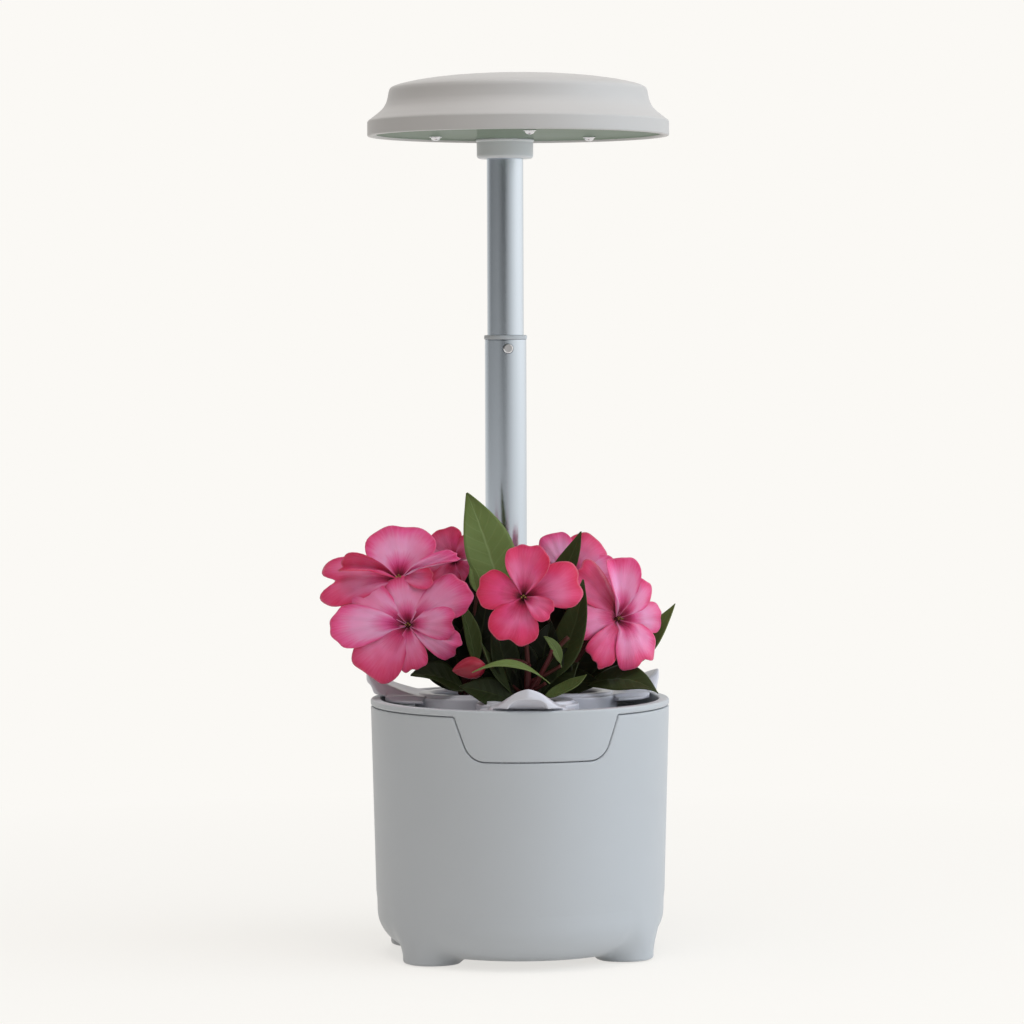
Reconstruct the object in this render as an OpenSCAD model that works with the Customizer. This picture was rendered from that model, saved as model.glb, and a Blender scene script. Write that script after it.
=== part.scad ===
// Countertop hydroponic garden: a round water tank on moulded feet, a lift-off lid with three
// plant pods, and a grow lamp on a two-stage telescopic pole.
// Millimetres, +Z up, front towards -Y. The origin is on the table, under the tank's axis.

/* [Tank] */
// Outer radius of the tank at its top edge
tank_top_r = 80; // [76:0.5:90]
// Inward draft of the wall, from the top edge down to the rounded bottom edge
tank_draft = 2.7; // [1:0.1:5]
// Height of the tank's top edge above the table
tank_h = 133.4; // [125:0.2:150]
// Thickness of the tank's wall and floor
tank_wall = 2.6; // [2:0.1:3.4]
// Radius of the rounded bottom edge
tank_round = 22; // [16:0.5:28]
// Gap between the tank's underside and the table
tank_lift = 3.6; // [1.2:0.1:5]

/* [Feet] */
// Diameter of each moulded foot
foot_d = 30; // [24:0.2:32]
// Gap between a foot's outer side and the wall's widest line
foot_inset = 0.5; // [0:0.1:3]
// Angle of the feet from the front or rear centre line
foot_angle = 57; // [45:1:62]
// Diameter of the rubber pad under each foot
pad_d = 20; // [12:0.5:22]
// Thickness of the rubber pad
pad_t = 1.6; // [1:0.1:2.5]
// Height by which the pad stands proud of its foot
pad_proud = 0.5; // [0.2:0.1:0.8]

/* [Lid] */
// Height of the lid's rim above the seam with the tank
rim_h = 3.8; // [3:0.1:6]
// Width of the rim, seen from above
rim_w = 5.6; // [4.8:0.1:7]
// Depth of the recessed deck below the rim's top
deck_drop = 8.2; // [6:0.2:10]
// Thickness of the deck
deck_t = 2.2; // [1.8:0.1:3]
// Depth of the skirt that plugs into the tank, below the seam
skirt_depth = 12.4; // [9:0.2:16]
// Thickness of the skirt
skirt_t = 2; // [1.6:0.1:2.6]
// Width of the apron along the seam
apron_top_w = 86.8; // [70:0.5:96]
// Width of the apron at its lower edge, before its corners are rounded
apron_low_w = 71; // [60:0.5:76]
// Depth of the apron below the seam
apron_depth = 23.2; // [18:0.2:30]
// Radius of the apron's lower corners
apron_corner_r = 12; // [5:0.5:14]
// Thickness of the apron
apron_t = 3.7; // [3.6:0.1:4.4]

/* [Pods] */
// Distance from the tank's axis to each pod's centre
pod_circle_r = 32; // [32:0.2:34]
// Outer radius of a pod's cap
cap_r = 27.2; // [26:0.1:27.4]
// Height of a cap above the rim's top
cap_over_rim = 2; // [1:0.1:4]
// Radius of the planting hole through a cap
plant_hole_r = 17.5; // [14:0.5:19]
// Wall thickness of a cap
cap_wall = 2; // [1.6:0.1:2.4]
// Outer radius of a net cup at the deck
cup_top_r = 23.2; // [22:0.1:23.6]
// Outer radius of a net cup at its bottom
cup_low_r = 17; // [15:0.5:19]
// Depth of a net cup below the deck
cup_depth = 52; // [40:1:60]
// Wall thickness of a net cup
cup_wall = 1.5; // [1.2:0.1:2]
// Width of the slots in a net cup
cup_slot_w = 3; // [2:0.2:4]
// Number of slots round a net cup
cup_slots = 12; // [8:1:14]

/* [Lift tab] */
// Reach of the lift tab's tip from its pod's centre
tab_reach = 54; // [52:0.5:57]
// Height of the lift tab's tip above the rim's top
tab_rise = 12.6; // [11:0.2:16]
// Height of the tab's end face
tab_end_h = 4.6; // [3.6:0.1:5]
// Width of the tab where it crosses the rim
tab_w = 39; // [32:0.5:42]
// Width of the finger hollow under the tab
hollow_w = 20; // [14:0.5:22]

/* [Pole] */
// Distance of the pole's axis inside the tank's top edge
pole_in = 22; // [21.6:0.1:22.4]
// Outer diameter of the lower tube
tube_od = 22.8; // [22:0.1:23.2]
// Height of the lower tube's top above the table
tube_top_z = 329.2; // [300:0.2:340]
// Outer diameter of the upper tube
upper_od = 20; // [19:0.1:20]
// Wall thickness of the upper tube
upper_wall = 1; // [0.8:0.1:1.4]
// Length of the upper tube that stays inside the lower one when extended
upper_overlap = 46; // [40:1:60]
// Height of the plastic bush on top of the lower tube
bush_h = 2.4; // [2:0.1:4]
// Distance of the lock button below the bush
button_drop = 5; // [4.8:0.1:14]
// Diameter of the lock button
button_d = 5.4; // [4:0.1:6]

/* [Lamp] */
// Outer radius of the lamp's rim
lamp_r = 80.5; // [78:0.5:90]
// Height of the lamp's lower rim above the table, pole extended
lamp_z = 437.6; // [430:0.2:460]
// Height of the upright band round the lamp's rim
band_h = 7.4; // [6:0.1:9]
// Radius of the lamp's waist, above the flare
waist_r = 69; // [66:0.2:71]
// Height of the waist above the rim
waist_h = 21.4; // [19:0.2:24]
// Height of the shoulder above the rim
shoulder_h = 25.6; // [25:0.2:28]
// Height of the domed top above the rim
dome_h = 33.3; // [32:0.1:40]
// Wall thickness of the lamp's housing
lamp_wall = 2.4; // [2:0.1:3]
// Thickness of the clear lens
lens_t = 2; // [1.6:0.1:3]
// Depth of the lens inside the rim
lens_in = 1; // [0.6:0.1:2]
// Distance of the three lens screws from the lamp's axis
lens_screw_r = 48.2; // [45:0.2:52]
// Outer diameter of the collar under the lamp
collar_d = 31; // [29:0.5:34]
// Height of the collar below the lens
collar_h = 10.6; // [8:0.2:14]
// Number of light-emitting chips in the outer ring
chips_outer = 18; // [10:2:24]
// Number of light-emitting chips in the inner ring
chips_inner = 9; // [5:1:12]

/* [Hidden] */

plastic = [0.80, 0.81, 0.83];
plastic_shade = [0.70, 0.72, 0.75];
rubber = [0.16, 0.16, 0.17];
aluminium = [0.72, 0.75, 0.79];
steel = [0.62, 0.62, 0.64];
leaf_green = [0.25, 0.38, 0.16];
petal_pink = [0.90, 0.36, 0.52];

// Clearances
seam_gap = 0.35;      // between the lid and the tank, all along the seam
skirt_gap = 0.75;     // between the lid's skirt and the tank's wall
seat_gap = 0.3;       // under a piece that only rests on another body
slide_gap = 0.08;     // round the upper tube in its bush
tube_gap = 0.15;      // round the upper tube in the lower one
fit_gap = 0.1;        // round a piece that is fixed in its seat
pod_gap = 0.4;        // round a net cup in its hole
button_gap = 0.3;     // round the lock button in its hole
button_travel = 0.8;  // inward travel of the lock button

arc_steps = 12;
over = 1;             // how far a cut runs past the face that it opens

// Tank
tank_low_r = tank_top_r - tank_draft;
taper = tank_draft / (tank_h - tank_lift - tank_round);
foot_r = tank_low_r - foot_inset - foot_d / 2;
foot_azimuths = [-foot_angle, foot_angle, 180 - foot_angle, 180 + foot_angle];

// Lid
seam_z = tank_h + seam_gap;
seam_lap = 2;         // how far the apron's notch runs above the seam
rim_top_z = tank_h + rim_h;
rim_in_r = tank_top_r - rim_w;
deck_z = rim_top_z - deck_drop;
deck_under_z = deck_z - deck_t;
skirt_r = wall_r(seam_z) - tank_wall - skirt_gap;
skirt_low_z = seam_z - skirt_depth;
rim_round = 1.7;
ledge_w = 1.2;        // step where the deck meets the rim's inner side
ledge_h = 1.4;

// Pods
cup_hole_r = cup_top_r + pod_gap;
cap_low_z = deck_z + seat_gap;
cap_top_z = rim_top_z + cap_over_rim;
cap_step_h = 1.6;
cap_step_w = 2.4;
tab_root_r = cap_r - 2;
tab_gap = 0.7;        // under the tab, where it crosses the rim
rim_clear_z = rim_top_z + tab_gap;
tab_edge_h = 1;       // thickness of the tab's side edges
flange_t = 1.6;
flange_r = cap_r - cap_wall - fit_gap;
cup_low_z = deck_z - cup_depth;
sponge_low_z = cup_low_z + cup_wall;
sponge_top_z = cap_top_z - 3.4;
pod_azimuths = [0, 120, -120];
cap_turns = [-7, -15.7, 16];

// Pole
pole_back = tank_top_r - pole_in;
tube_r = tube_od / 2;
upper_r = upper_od / 2;
tube_bore_r = upper_r + tube_gap;
bush_top_z = tube_top_z + bush_h;
button_z = tube_top_z - button_drop;
button_hole_r = button_d / 2 + button_gap;
socket_wall = 2.4;
socket_r = tube_r + socket_wall;
socket_chamfer = 3;
socket_top_z = deck_z + 11;
socket_low_z = deck_under_z - 9;
seat_h = 1.6;         // seat under the lower tube
seat_w = 2;
tube_low_z = socket_low_z + seat_h;
upper_low_z = tube_top_z - upper_overlap;

// Lamp
lens_low_z = lamp_z + lens_in;
lens_top_z = lens_low_z + lens_t;
lens_r = lamp_r - 4.2;
neck_low_z = lens_low_z - collar_h;
spigot_r = collar_d / 2 - 2.8;
upper_top_z = lens_top_z + 13;
neck_top_z = upper_top_z + 1.4;
spigot_top_z = neck_top_z - 3;
neck_wall = 2.2;
board_z = lens_top_z + 5;
board_t = 1.6;
board_r = 63;
lens_screw_azimuths = [0, 120, -120];
shoulder_r = waist_r - 0.6;
shoulder_round = 4.5;
lens_post_r = 3.6;
lens_screw_d = 2.7;
lens_screw_h = 9;
washer_t = 0.6;

// Electronics tray under the rear of the deck
tray_half_w = 35;
tray_front_y = pole_back - 16.6;
tray_wall = 1.6;
tray_r = skirt_r - skirt_t - 0.5;
tray_low_z = deck_under_z - 19;
tray_hole_x = tray_half_w - 5.5;
tray_hole_y = tray_front_y + 5.6;
boss_r = 2.8;         // screw bosses under the deck
pilot_r = 1.3;
screw_hole_r = 1.7;
inlet_x = 24.5;
inlet_z = deck_under_z - 9.5;
inlet_turn = asin(inlet_x / tank_top_r);
inlet_r = 4.6;

// Plants: every place is measured from the middle of a sponge's top
leaf_t = 1.2;
petal_t = 1.4;
// [centre, diameter, azimuth that it faces, lift of its face]
blossoms = [
    [[[-2.5, -4, 58], 56, -7, 8]],
    [[[27, -23, 44], 56, 38, 12],
        [[1, 2, 76], 46, 150, 35]],
    [[[-33, -18, 42], 72, -12, 14],
        [[-47, -5, 76], 62, -100, 50],
        [[-3, 17, 76], 44, 205, 30]]];
// [base, tip, width, roll]
leaves = [
    [[[-6, -2, 6], [-24, -1, 32], 17, 50],
        [[4, -8, 5], [14, -12, 14], 10, 20],
        [[9, -5, 6], [29, -11, 16], 13, 35],
        [[-7, 3, 12], [-14, 8, 46], 15, 65],
        [[8, 5, 12], [17, 7, 47], 16, 70]],
    [[[9, -12, 12], [44, -36, 5], 22, 20],
        [[16, 2, 12], [59, -3, 50], 18, 40],
        [[-2, -12, 22], [5, -10, 89], 20, 70],
        [[2, 12, 10], [22, 38, 40], 24, 30],
        [[-4, 8, 10], [-4, 30, 62], 20, 60],
        [[4, 10, 10], [40, 20, 30], 22, 10]],
    [[[-4, -10, 9], [-30, -26, 14], 22, 20],
        [[12, -5, 58], [1, -2, 111], 24, 70],
        [[-8, -4, 9], [-44, 2, 22], 24, 15],
        [[-6, 8, 10], [-32, 28, 42], 24, 30],
        [[4, 8, 10], [2, 30, 60], 20, 60],
        [[2, -10, 12], [-6, -16, 44], 20, 70]]];
// [middle, length, diameter] of the closed bud on the front plant
bud = [[-32, -4, 20], 18, 12];
bud_stalk = [-22.6, -2.1, 21.7];
calyx_h = 4;
stem_top = [[0, -2, 22], [2, -2, 24], [-2, -2, 24]];
stem_r = 2.6;
twig_r = 1.3;

// Outer radius of the tank's wall at height z
function wall_r(z) = tank_top_r - taper * (tank_h - z);
// Points of an arc round c, from angle a0 to a1
function arc(c, r, a0, a1) =
    [for (i = [0 : arc_steps]) let (a = a0 + (a1 - a0) * i / arc_steps)
        [c[0] + r * cos(a), c[1] + r * sin(a)]];
// A place at azimuth a from the front, at distance r from the axis
function at(a, r) = [r * sin(a), -r * cos(a), 0];
function pod_place(i) = at(pod_azimuths[i], pod_circle_r);
// Height of the tab's top face above the cap's seat, at distance r from the pod's centre
function tab_top(r) = let (s = (r - tab_root_r) / (tab_reach - tab_root_r))
    cap_top_z - 1.2 + (rim_top_z + tab_rise - cap_top_z + 1.2) * pow(s, 1.25);

module revolve(points) {
    rotate_extrude($fn = 128) polygon(points);
}

module ring(r_out, r_in, h) {
    difference() {
        cylinder(r = r_out, h = h, $fn = 96);
        translate([0, 0, -over]) cylinder(r = r_in, h = h + 2 * over, $fn = 96);
    }
}

// A round bar from p to q
module rod(p, q, r) {
    v = q - p;
    translate(p) rotate([0, acos(v[2] / norm(v)), atan2(v[1], v[0])])
        cylinder(r = r, h = norm(v), $fn = 20);
}

// ---------- tank ----------

// Outline of the tank's outside or, with inset = tank_wall, of its inside
module tank_form(inset, top) {
    r = tank_round - inset;
    low = tank_lift + inset;
    c = [tank_low_r - tank_round, tank_lift + tank_round];
    revolve(concat([[0, low]], arc(c, r, -90, 0), [[wall_r(top) - inset, top], [0, top]]));
}

// Outline of the apron seen from the front, grown by g
module apron_outline(g) {
    top_w = apron_top_w / 2 + g;
    low_w = apron_low_w / 2 + g;
    low_z = seam_z - apron_depth - g;
    lean = atan2(top_w - low_w, seam_z - low_z);
    r = apron_corner_r + g;
    c = [low_w - r * tan(45 - lean / 2), low_z + r];
    right = arc(c, r, -90, -lean);
    high_z = seam_z + seam_lap;
    polygon(concat(right, [[top_w, seam_z], [top_w, high_z], [-top_w, high_z], [-top_w, seam_z]],
        [for (i = [arc_steps : -1 : 0]) [-right[i][0], right[i][1]]]));
}

module apron_prism(g) {
    translate([0, -tank_low_r * 0.6, 0]) rotate([90, 0, 0])
        linear_extrude(height = tank_top_r) apron_outline(g);
}

module foot() {
    low = pad_proud;
    high = tank_lift + tank_round;
    r = foot_d / 2;
    edge = 1.6;
    revolve(concat([[0, low]], arc([r - edge, low + edge], edge, -90, 0), [[r, high], [0, high]]));
}

module tank() {
    color(plastic) difference() {
        union() {
            tank_form(0, tank_h);
            for (a = foot_azimuths) translate(at(a, foot_r)) foot();
        }
        tank_form(tank_wall, tank_h + over);
        for (turn = [0, 180]) rotate(turn) apron_prism(seam_gap);
        for (a = foot_azimuths) translate(at(a, foot_r))
            cylinder(r = pad_d / 2 + fit_gap, h = pad_t, $fn = 48);
    }
}

module foot_pads() {
    color(rubber) for (a = foot_azimuths) translate(at(a, foot_r))
        cylinder(r = pad_d / 2, h = pad_t, $fn = 48);
}

// ---------- lid ----------

module lid_disc() {
    top = rim_top_z;
    in_r = rim_in_r;
    revolve(concat(
        [[0, deck_under_z], [skirt_r - skirt_t, deck_under_z], [skirt_r - skirt_t, skirt_low_z],
            [skirt_r, skirt_low_z], [skirt_r, seam_z], [wall_r(seam_z), seam_z]],
        arc([tank_top_r - rim_round, top - rim_round], rim_round, 0, 90),
        arc([in_r + 1, top - 1], 1, 90, 180),
        [[in_r, deck_z + ledge_h + 0.4], [in_r - ledge_w, deck_z + ledge_h], [in_r - ledge_w, deck_z],
            [0, deck_z]]));
}

// The apron is a piece of a tapered ring, flush with the tank's wall
module apron() {
    low = seam_z - apron_depth - over;
    high = seam_z + over;
    intersection() {
        apron_prism(0);
        revolve([[wall_r(low) - apron_t, low], [wall_r(low), low],
            [wall_r(high), high], [wall_r(high) - apron_t, high]]);
    }
}

module lid() {
    color(plastic) difference() {
        union() {
            lid_disc();
            for (turn = [0, 180]) rotate(turn) apron();
            translate([0, pole_back, 0]) revolve([[0, socket_low_z], [socket_r, socket_low_z],
                [socket_r, socket_top_z - socket_chamfer], [socket_r - socket_wall / 2, socket_top_z],
                [0, socket_top_z]]);
            for (x = [-tray_hole_x, tray_hole_x]) translate([x, tray_hole_y, tray_low_z + tray_wall])
                cylinder(r = boss_r, h = deck_under_z - tray_low_z, $fn = 32);
        }
        for (i = [0 : 2]) translate(pod_place(i) + [0, 0, deck_under_z - over])
            cylinder(r = cup_hole_r, h = deck_t + 2 * over, $fn = 96);
        translate([0, pole_back, tube_low_z])
            cylinder(r = tube_r + fit_gap, h = socket_top_z, $fn = 64);
        translate([0, pole_back, socket_low_z - over])
            cylinder(r = tube_bore_r - seat_w, h = 4 * over, $fn = 48);
        for (x = [-tray_hole_x, tray_hole_x]) translate([x, tray_hole_y, tray_low_z])
            cylinder(r = pilot_r, h = 12, $fn = 24);
        rotate(180 - inlet_turn) translate([0, -tank_top_r + 12, inlet_z]) rotate([90, 0, 0])
            cylinder(r = inlet_r + fit_gap, h = 20, $fn = 48);
    }
}

module tray_outline(inset) {
    intersection() {
        circle(r = tray_r - inset, $fn = 128);
        translate([-tray_half_w + inset, tray_front_y + inset])
            square([2 * (tray_half_w - inset), tank_top_r]);
    }
}

// Tray that closes the electronics space, with a hole round the pole's socket
module driver_cover() {
    color(plastic_shade) difference() {
        translate([0, 0, tray_low_z])
            linear_extrude(height = deck_under_z - tray_low_z) tray_outline(0);
        translate([0, 0, tray_low_z + tray_wall])
            linear_extrude(height = deck_under_z) tray_outline(tray_wall);
        for (x = [-tray_hole_x, tray_hole_x]) translate([x, tray_hole_y, tray_low_z - over])
            cylinder(r = screw_hole_r, h = 4 * over, $fn = 24);
        rotate(180 - inlet_turn) translate([0, -tank_top_r + 16, inlet_z]) rotate([90, 0, 0])
            cylinder(r = inlet_r + fit_gap, h = 20, $fn = 48);
    }
}

module cover_screws() {
    head_h = 1.6;
    head_r = 2.8;
    color(steel) for (x = [-tray_hole_x, tray_hole_x])
        translate([x, tray_hole_y, tray_low_z]) difference() {
            union() {
                translate([0, 0, -head_h]) cylinder(r1 = head_r - 0.6, r2 = head_r, h = head_h, $fn = 32);
                cylinder(r = pilot_r - fit_gap, h = 10, $fn = 24);
            }
            translate([0, 0, -head_h - over]) linear_extrude(height = over + head_h / 2) {
                square([3, 0.8], center = true);
                square([0.8, 3], center = true);
            }
        }
}

// Driver and timer board, beside the pole's socket
module circuit_board() {
    w = 16.4;
    d = 10;
    z = tray_low_z + tray_wall + 3;
    x0 = -tray_half_w + tray_wall + 1.8;
    y0 = tray_hole_y + boss_r + 1;
    translate([x0, y0, z]) {
        color([0.10, 0.35, 0.20]) cube([w, d, 1.6]);
        color([0.12, 0.12, 0.13]) translate([2, 1.5, 1.6]) cube([6, 6, 2]);
        color([0.15, 0.20, 0.45]) translate([12.5, 5, 1.6]) cylinder(r = 3, h = 7, $fn = 32);
        color([0.30, 0.30, 0.32]) for (x = [2, w - 4]) translate([x, 3.5, -3]) cube([2, 2, 3]);
    }
}

module dc_inlet() {
    color(rubber) rotate(180 - inlet_turn)
        translate([0, -tank_top_r + 0.4, inlet_z]) rotate([-90, 0, 0])
        difference() {
            cylinder(r = inlet_r, h = 13, $fn = 48);
            translate([0, 0, -over]) cylinder(r = 2.8, h = 10, $fn = 32);
            translate([0, 0, -over]) cylinder(r1 = 4.2, r2 = 2.8, h = 1.8, $fn = 32);
        }
    color(steel) rotate(180 - inlet_turn) translate([0, -tank_top_r + 2, inlet_z]) rotate([-90, 0, 0])
        cylinder(r = 1, h = 9, $fn = 24);
}

// ---------- pole ----------

module lower_tube() {
    color(aluminium) difference() {
        translate([0, pole_back, tube_low_z]) ring(tube_r, tube_bore_r, tube_top_z - tube_low_z);
        translate([0, pole_back, button_z]) rotate([90, 0, 0])
            cylinder(r = button_hole_r, h = tube_od, $fn = 48);
    }
}

module tube_bush() {
    lip = 0.4;
    in_r = upper_r + slide_gap;
    out_r = tube_r + lip;
    color(plastic) translate([0, pole_back, tube_top_z]) revolve(concat([[in_r, 0], [out_r, 0]],
        arc([out_r - 0.8, bush_h - 0.8], 0.8, 0, 90), [[in_r, bush_h]]));
}

// Head of the lock button, in the lower tube's wall
module lock_button() {
    in_y = upper_r + 0.06 + button_travel;
    out_y = tube_r + button_travel;
    color(steel) translate([0, pole_back, button_z]) rotate([90, 0, 0])
        translate([0, 0, in_y]) revolve(concat([[0, 0], [button_d / 2, 0]],
            arc([button_d / 2 - 0.5, out_y - in_y - 0.5], 0.5, 0, 90), [[0, out_y - in_y]]));
}

module upper_tube() {
    color(aluminium) difference() {
        translate([0, pole_back, upper_low_z])
            ring(upper_r, upper_r - upper_wall, upper_top_z - upper_low_z);
        translate([0, pole_back, button_z]) rotate([90, 0, 0])
            cylinder(r = button_d / 2, h = upper_od, $fn = 48);
    }
}

// Open ring of spring steel inside the upper tube, with the pin that pushes the button out
module button_spring() {
    band_w = 6;
    band_t = 0.6;
    band_r = upper_r - upper_wall - fit_gap;
    color(steel) translate([0, pole_back, button_z]) {
        difference() {
            translate([0, 0, -band_w / 2]) ring(band_r, band_r - band_t, band_w);
            translate([-upper_r / 2, 0, -band_w]) cube([upper_r, upper_od, 2 * band_w]);
        }
        translate([0, 0.1 - band_r + band_t, 0]) rotate([90, 0, 0])
            cylinder(r = button_d / 2 - 0.3, h = upper_r - 0.15 - band_r + band_t, $fn = 32);
    }
}

// Coiled lead inside the pole, as the space that its turns fill
module lamp_lead() {
    low = socket_low_z + 0.4;
    color([0.2, 0.2, 0.2]) translate([0, pole_back, low])
        cylinder(r = 4, h = neck_top_z - seat_gap - low, $fn = 32);
}

// ---------- lamp ----------

module neck_collar() {
    out_r = collar_d / 2;
    in_r = upper_r + fit_gap / 2;
    edge = 2;
    lip = 0.5;
    color(plastic) translate([0, pole_back, 0]) revolve(concat(
        [[in_r, neck_low_z], [out_r - edge, neck_low_z]],
        arc([out_r - edge, neck_low_z + edge], edge, -90, 0),
        [[out_r + lip, lens_low_z - 2 * lip], [out_r + lip, lens_low_z], [spigot_r, lens_low_z],
            [spigot_r, spigot_top_z], [in_r, spigot_top_z]]));
}

// Outline of the shade: band, flare, waist, shoulder and dome; inset moves it inwards
function shade_outline(inset) = let (
    band_z = lamp_z + band_h,
    waist_z = lamp_z + waist_h,
    flare = [for (i = [0 : arc_steps]) let (s = i / arc_steps, q = pow(1 - s, 2.1))
        [waist_r + (lamp_r - waist_r) * q - inset, band_z + (waist_z - band_z) * s - inset * q]],
    turn = arc([shoulder_r - shoulder_round - inset, lamp_z + shoulder_h - shoulder_round],
        shoulder_round, 8, 62),
    last = turn[arc_steps],
    top = lamp_z + dome_h - inset,
    dome = [for (i = [1 : arc_steps]) let (s = i / arc_steps)
        [last[0] * (1 - s), last[1] + (top - last[1]) * (1 - pow(1 - s, 2))]])
    concat([[lamp_r - inset, lamp_z]], flare, turn, dome);

module lamp_housing() {
    color(plastic) difference() {
        union() {
            difference() {
                revolve(concat([[0, lamp_z]], shade_outline(0)));
                revolve(concat([[0, lens_top_z]], [[lens_r - 3, lens_top_z]],
                    [for (p = shade_outline(lamp_wall)) if (p[1] > lens_top_z + 1 && p[0] < lens_r - 3) p],
                    [[0, lamp_z + dome_h - lamp_wall]]));
                translate([0, 0, lamp_z - over])
                    cylinder(r = lens_r + fit_gap, h = lens_top_z - lamp_z + over, $fn = 128);
            }
            intersection() {
                revolve(concat([[0, lens_top_z]],
                    [for (p = shade_outline(lamp_wall / 2)) if (p[1] > lens_top_z) p]));
                union() {
                    for (a = lens_screw_azimuths) translate(at(a, lens_screw_r) + [0, 0, lens_top_z])
                        cylinder(r = lens_post_r, h = dome_h, $fn = 32);
                    translate([0, pole_back, lens_top_z])
                        cylinder(r = spigot_r + neck_wall, h = dome_h, $fn = 64);
                }
            }
        }
        translate([0, pole_back, lens_top_z - over])
            cylinder(r = spigot_r + fit_gap, h = neck_top_z - lens_top_z, $fn = 64);
        translate([0, pole_back, lens_top_z - over])
            cylinder(r = upper_r + fit_gap, h = neck_top_z - lens_top_z + over, $fn = 64);
        for (a = lens_screw_azimuths) translate(at(a, lens_screw_r) + [0, 0, lens_top_z - over])
            cylinder(r = lens_screw_d / 2 + fit_gap / 2, h = lens_screw_h + over, $fn = 24);
    }
}

module led_board() {
    color([0.92, 0.93, 0.92]) difference() {
        translate([0, 0, board_z]) cylinder(r = board_r, h = board_t, $fn = 96);
        for (a = lens_screw_azimuths) translate(at(a, lens_screw_r) + [0, 0, board_z - over])
            cylinder(r = lens_post_r + 0.2, h = 4 * over, $fn = 32);
        translate([0, pole_back, board_z - over])
            cylinder(r = spigot_r + neck_wall + 0.4, h = 4 * over, $fn = 64);
    }
}

// Chips on the board's underside, in two rings that leave the neck and the screw posts free
module led_chips() {
    outer = 56;
    inner = 28;
    color([0.95, 0.85, 0.45]) {
        for (i = [0 : chips_outer - 1]) let (a = 10 + 360 * i / chips_outer)
            if (abs(a - 180) > 22) rotate(a) translate([0, -outer, board_z - 0.5])
                cube([3.5, 2.8, 1], center = true);
        for (i = [0 : chips_inner - 1]) rotate(20 + 360 * i / chips_inner)
            translate([0, -inner, board_z - 0.5]) cube([3.5, 2.8, 1], center = true);
    }
}

module lens() {
    color([0.80, 0.88, 0.84, 0.5]) difference() {
        translate([0, 0, lens_low_z]) cylinder(r = lens_r, h = lens_t, $fn = 128);
        translate([0, pole_back, lens_low_z - over])
            cylinder(r = spigot_r + fit_gap, h = lens_t + 2 * over, $fn = 64);
        for (a = lens_screw_azimuths) translate(at(a, lens_screw_r) + [0, 0, lens_low_z - over])
            cylinder(r = screw_hole_r, h = lens_t + 2 * over, $fn = 24);
    }
}

module lens_washers() {
    color(steel) for (a = lens_screw_azimuths) 
        translate(at(a, lens_screw_r) + [0, 0, lens_low_z - washer_t]) ring(3.4, screw_hole_r, washer_t);
}

module lens_screws() {
    head_r = 2.6;
    head_h = 1.9;
    color(steel) for (a = lens_screw_azimuths) 
        translate(at(a, lens_screw_r) + [0, 0, lens_low_z - washer_t]) difference() {
            union() {
                revolve(concat([[0, -head_h]], [for (i = [1 : 6]) let (t = 15 * i)
                    [head_r * sin(t), -head_h * cos(t)]], [[0, 0]]));
                cylinder(d = lens_screw_d, h = lens_screw_h, $fn = 24);
            }
            translate([0, 0, -head_h - over]) linear_extrude(height = over + 0.7) {
                square([2.4, 0.6], center = true);
                square([0.6, 2.4], center = true);
            }
        }
}

// ---------- pods ----------

// Outline of the lift tab seen from above: it leaves the cap's ring and narrows to a round tip
module tab_plan() {
    x0 = cap_r * 0.3;
    root_w = cap_r - 1.8;
    n = 20;
    side = [for (i = [0 : n]) let (s = i / n)
        [x0 + (tab_reach - x0) * s, root_w * pow(cos(90 * pow(s, 1.8)), 0.75)]];
    polygon(concat(side, [for (i = [n - 1 : -1 : 0]) [side[i][0], -side[i][1]]]));
}

// Outline of the lift tab seen from its tip: a bell with a round crown and hollow flanks
module tab_bell() {
    n = 14;
    edge_z = rim_clear_z + tab_edge_h;
    crown_h = rim_top_z + tab_rise - edge_z;
    flank = [for (i = [-n : n]) let (t = i / n)
        [tab_w / 2 * t, edge_z + crown_h * pow(1 - pow(abs(t), 1.6), 1.35)]];
    base_z = rim_top_z - 0.6;
    low_z = cap_low_z - over;
    polygon(concat([[-cap_r, low_z], [-cap_r, base_z], [-tab_w / 2 - 0.5, base_z]], flank,
        [[tab_w / 2 + 0.5, base_z], [cap_r, base_z], [cap_r, low_z]]));
}

// The tab rises outwards over the rim and ends in a thick face with a finger hollow below
module lift_tab() {
    n = 10;
    slope_w = 5.4;
    root_z = cap_low_z + 5;
    web_r = rim_in_r - pod_circle_r - 1.6;
    end_low = rim_top_z + tab_rise - tab_end_h;
    root = tab_root_r;
    in_r = root - 1;
    wall_mid_r = cap_r - cap_wall / 2;
    ring_z = cap_top_z - cap_step_h - 1.2;
    top = [for (i = [0 : n]) let (r = root + (tab_reach - root) * i / n) [r, tab_top(r)]];
    difference() {
        intersection() {
            rotate([0, 0, -75]) rotate_extrude(angle = 150, $fn = 96) polygon(concat(
                [[in_r, tab_top(root)], [in_r, ring_z], [wall_mid_r, ring_z], [wall_mid_r, root_z],
                [web_r, root_z], [web_r, rim_clear_z],
                [tab_reach - slope_w, rim_clear_z], [tab_reach, end_low]],
                [for (i = [n : -1 : 0]) top[i]]));
            translate([0, 0, cap_low_z]) linear_extrude(height = 40) tab_plan();
            rotate([90, 0, 90]) linear_extrude(height = tab_reach + over) tab_bell();
        }
        hollow();
    }
}

// Finger hollow under the tab, open outwards and downwards
module hollow() {
    low = rim_top_z;
    h = tab_rise - tab_end_h - 1.6;
    translate([tab_reach - 15, 0, low]) rotate([90, 0, 90]) linear_extrude(height = 20)
        polygon(concat([[-hollow_w / 2, -over], [hollow_w / 2, -over]],
            [for (i = [0 : arc_steps]) let (a = 180 * i / arc_steps)
                [hollow_w / 2 * cos(a), h * pow(sin(a), 0.8)]]));
}

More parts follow.
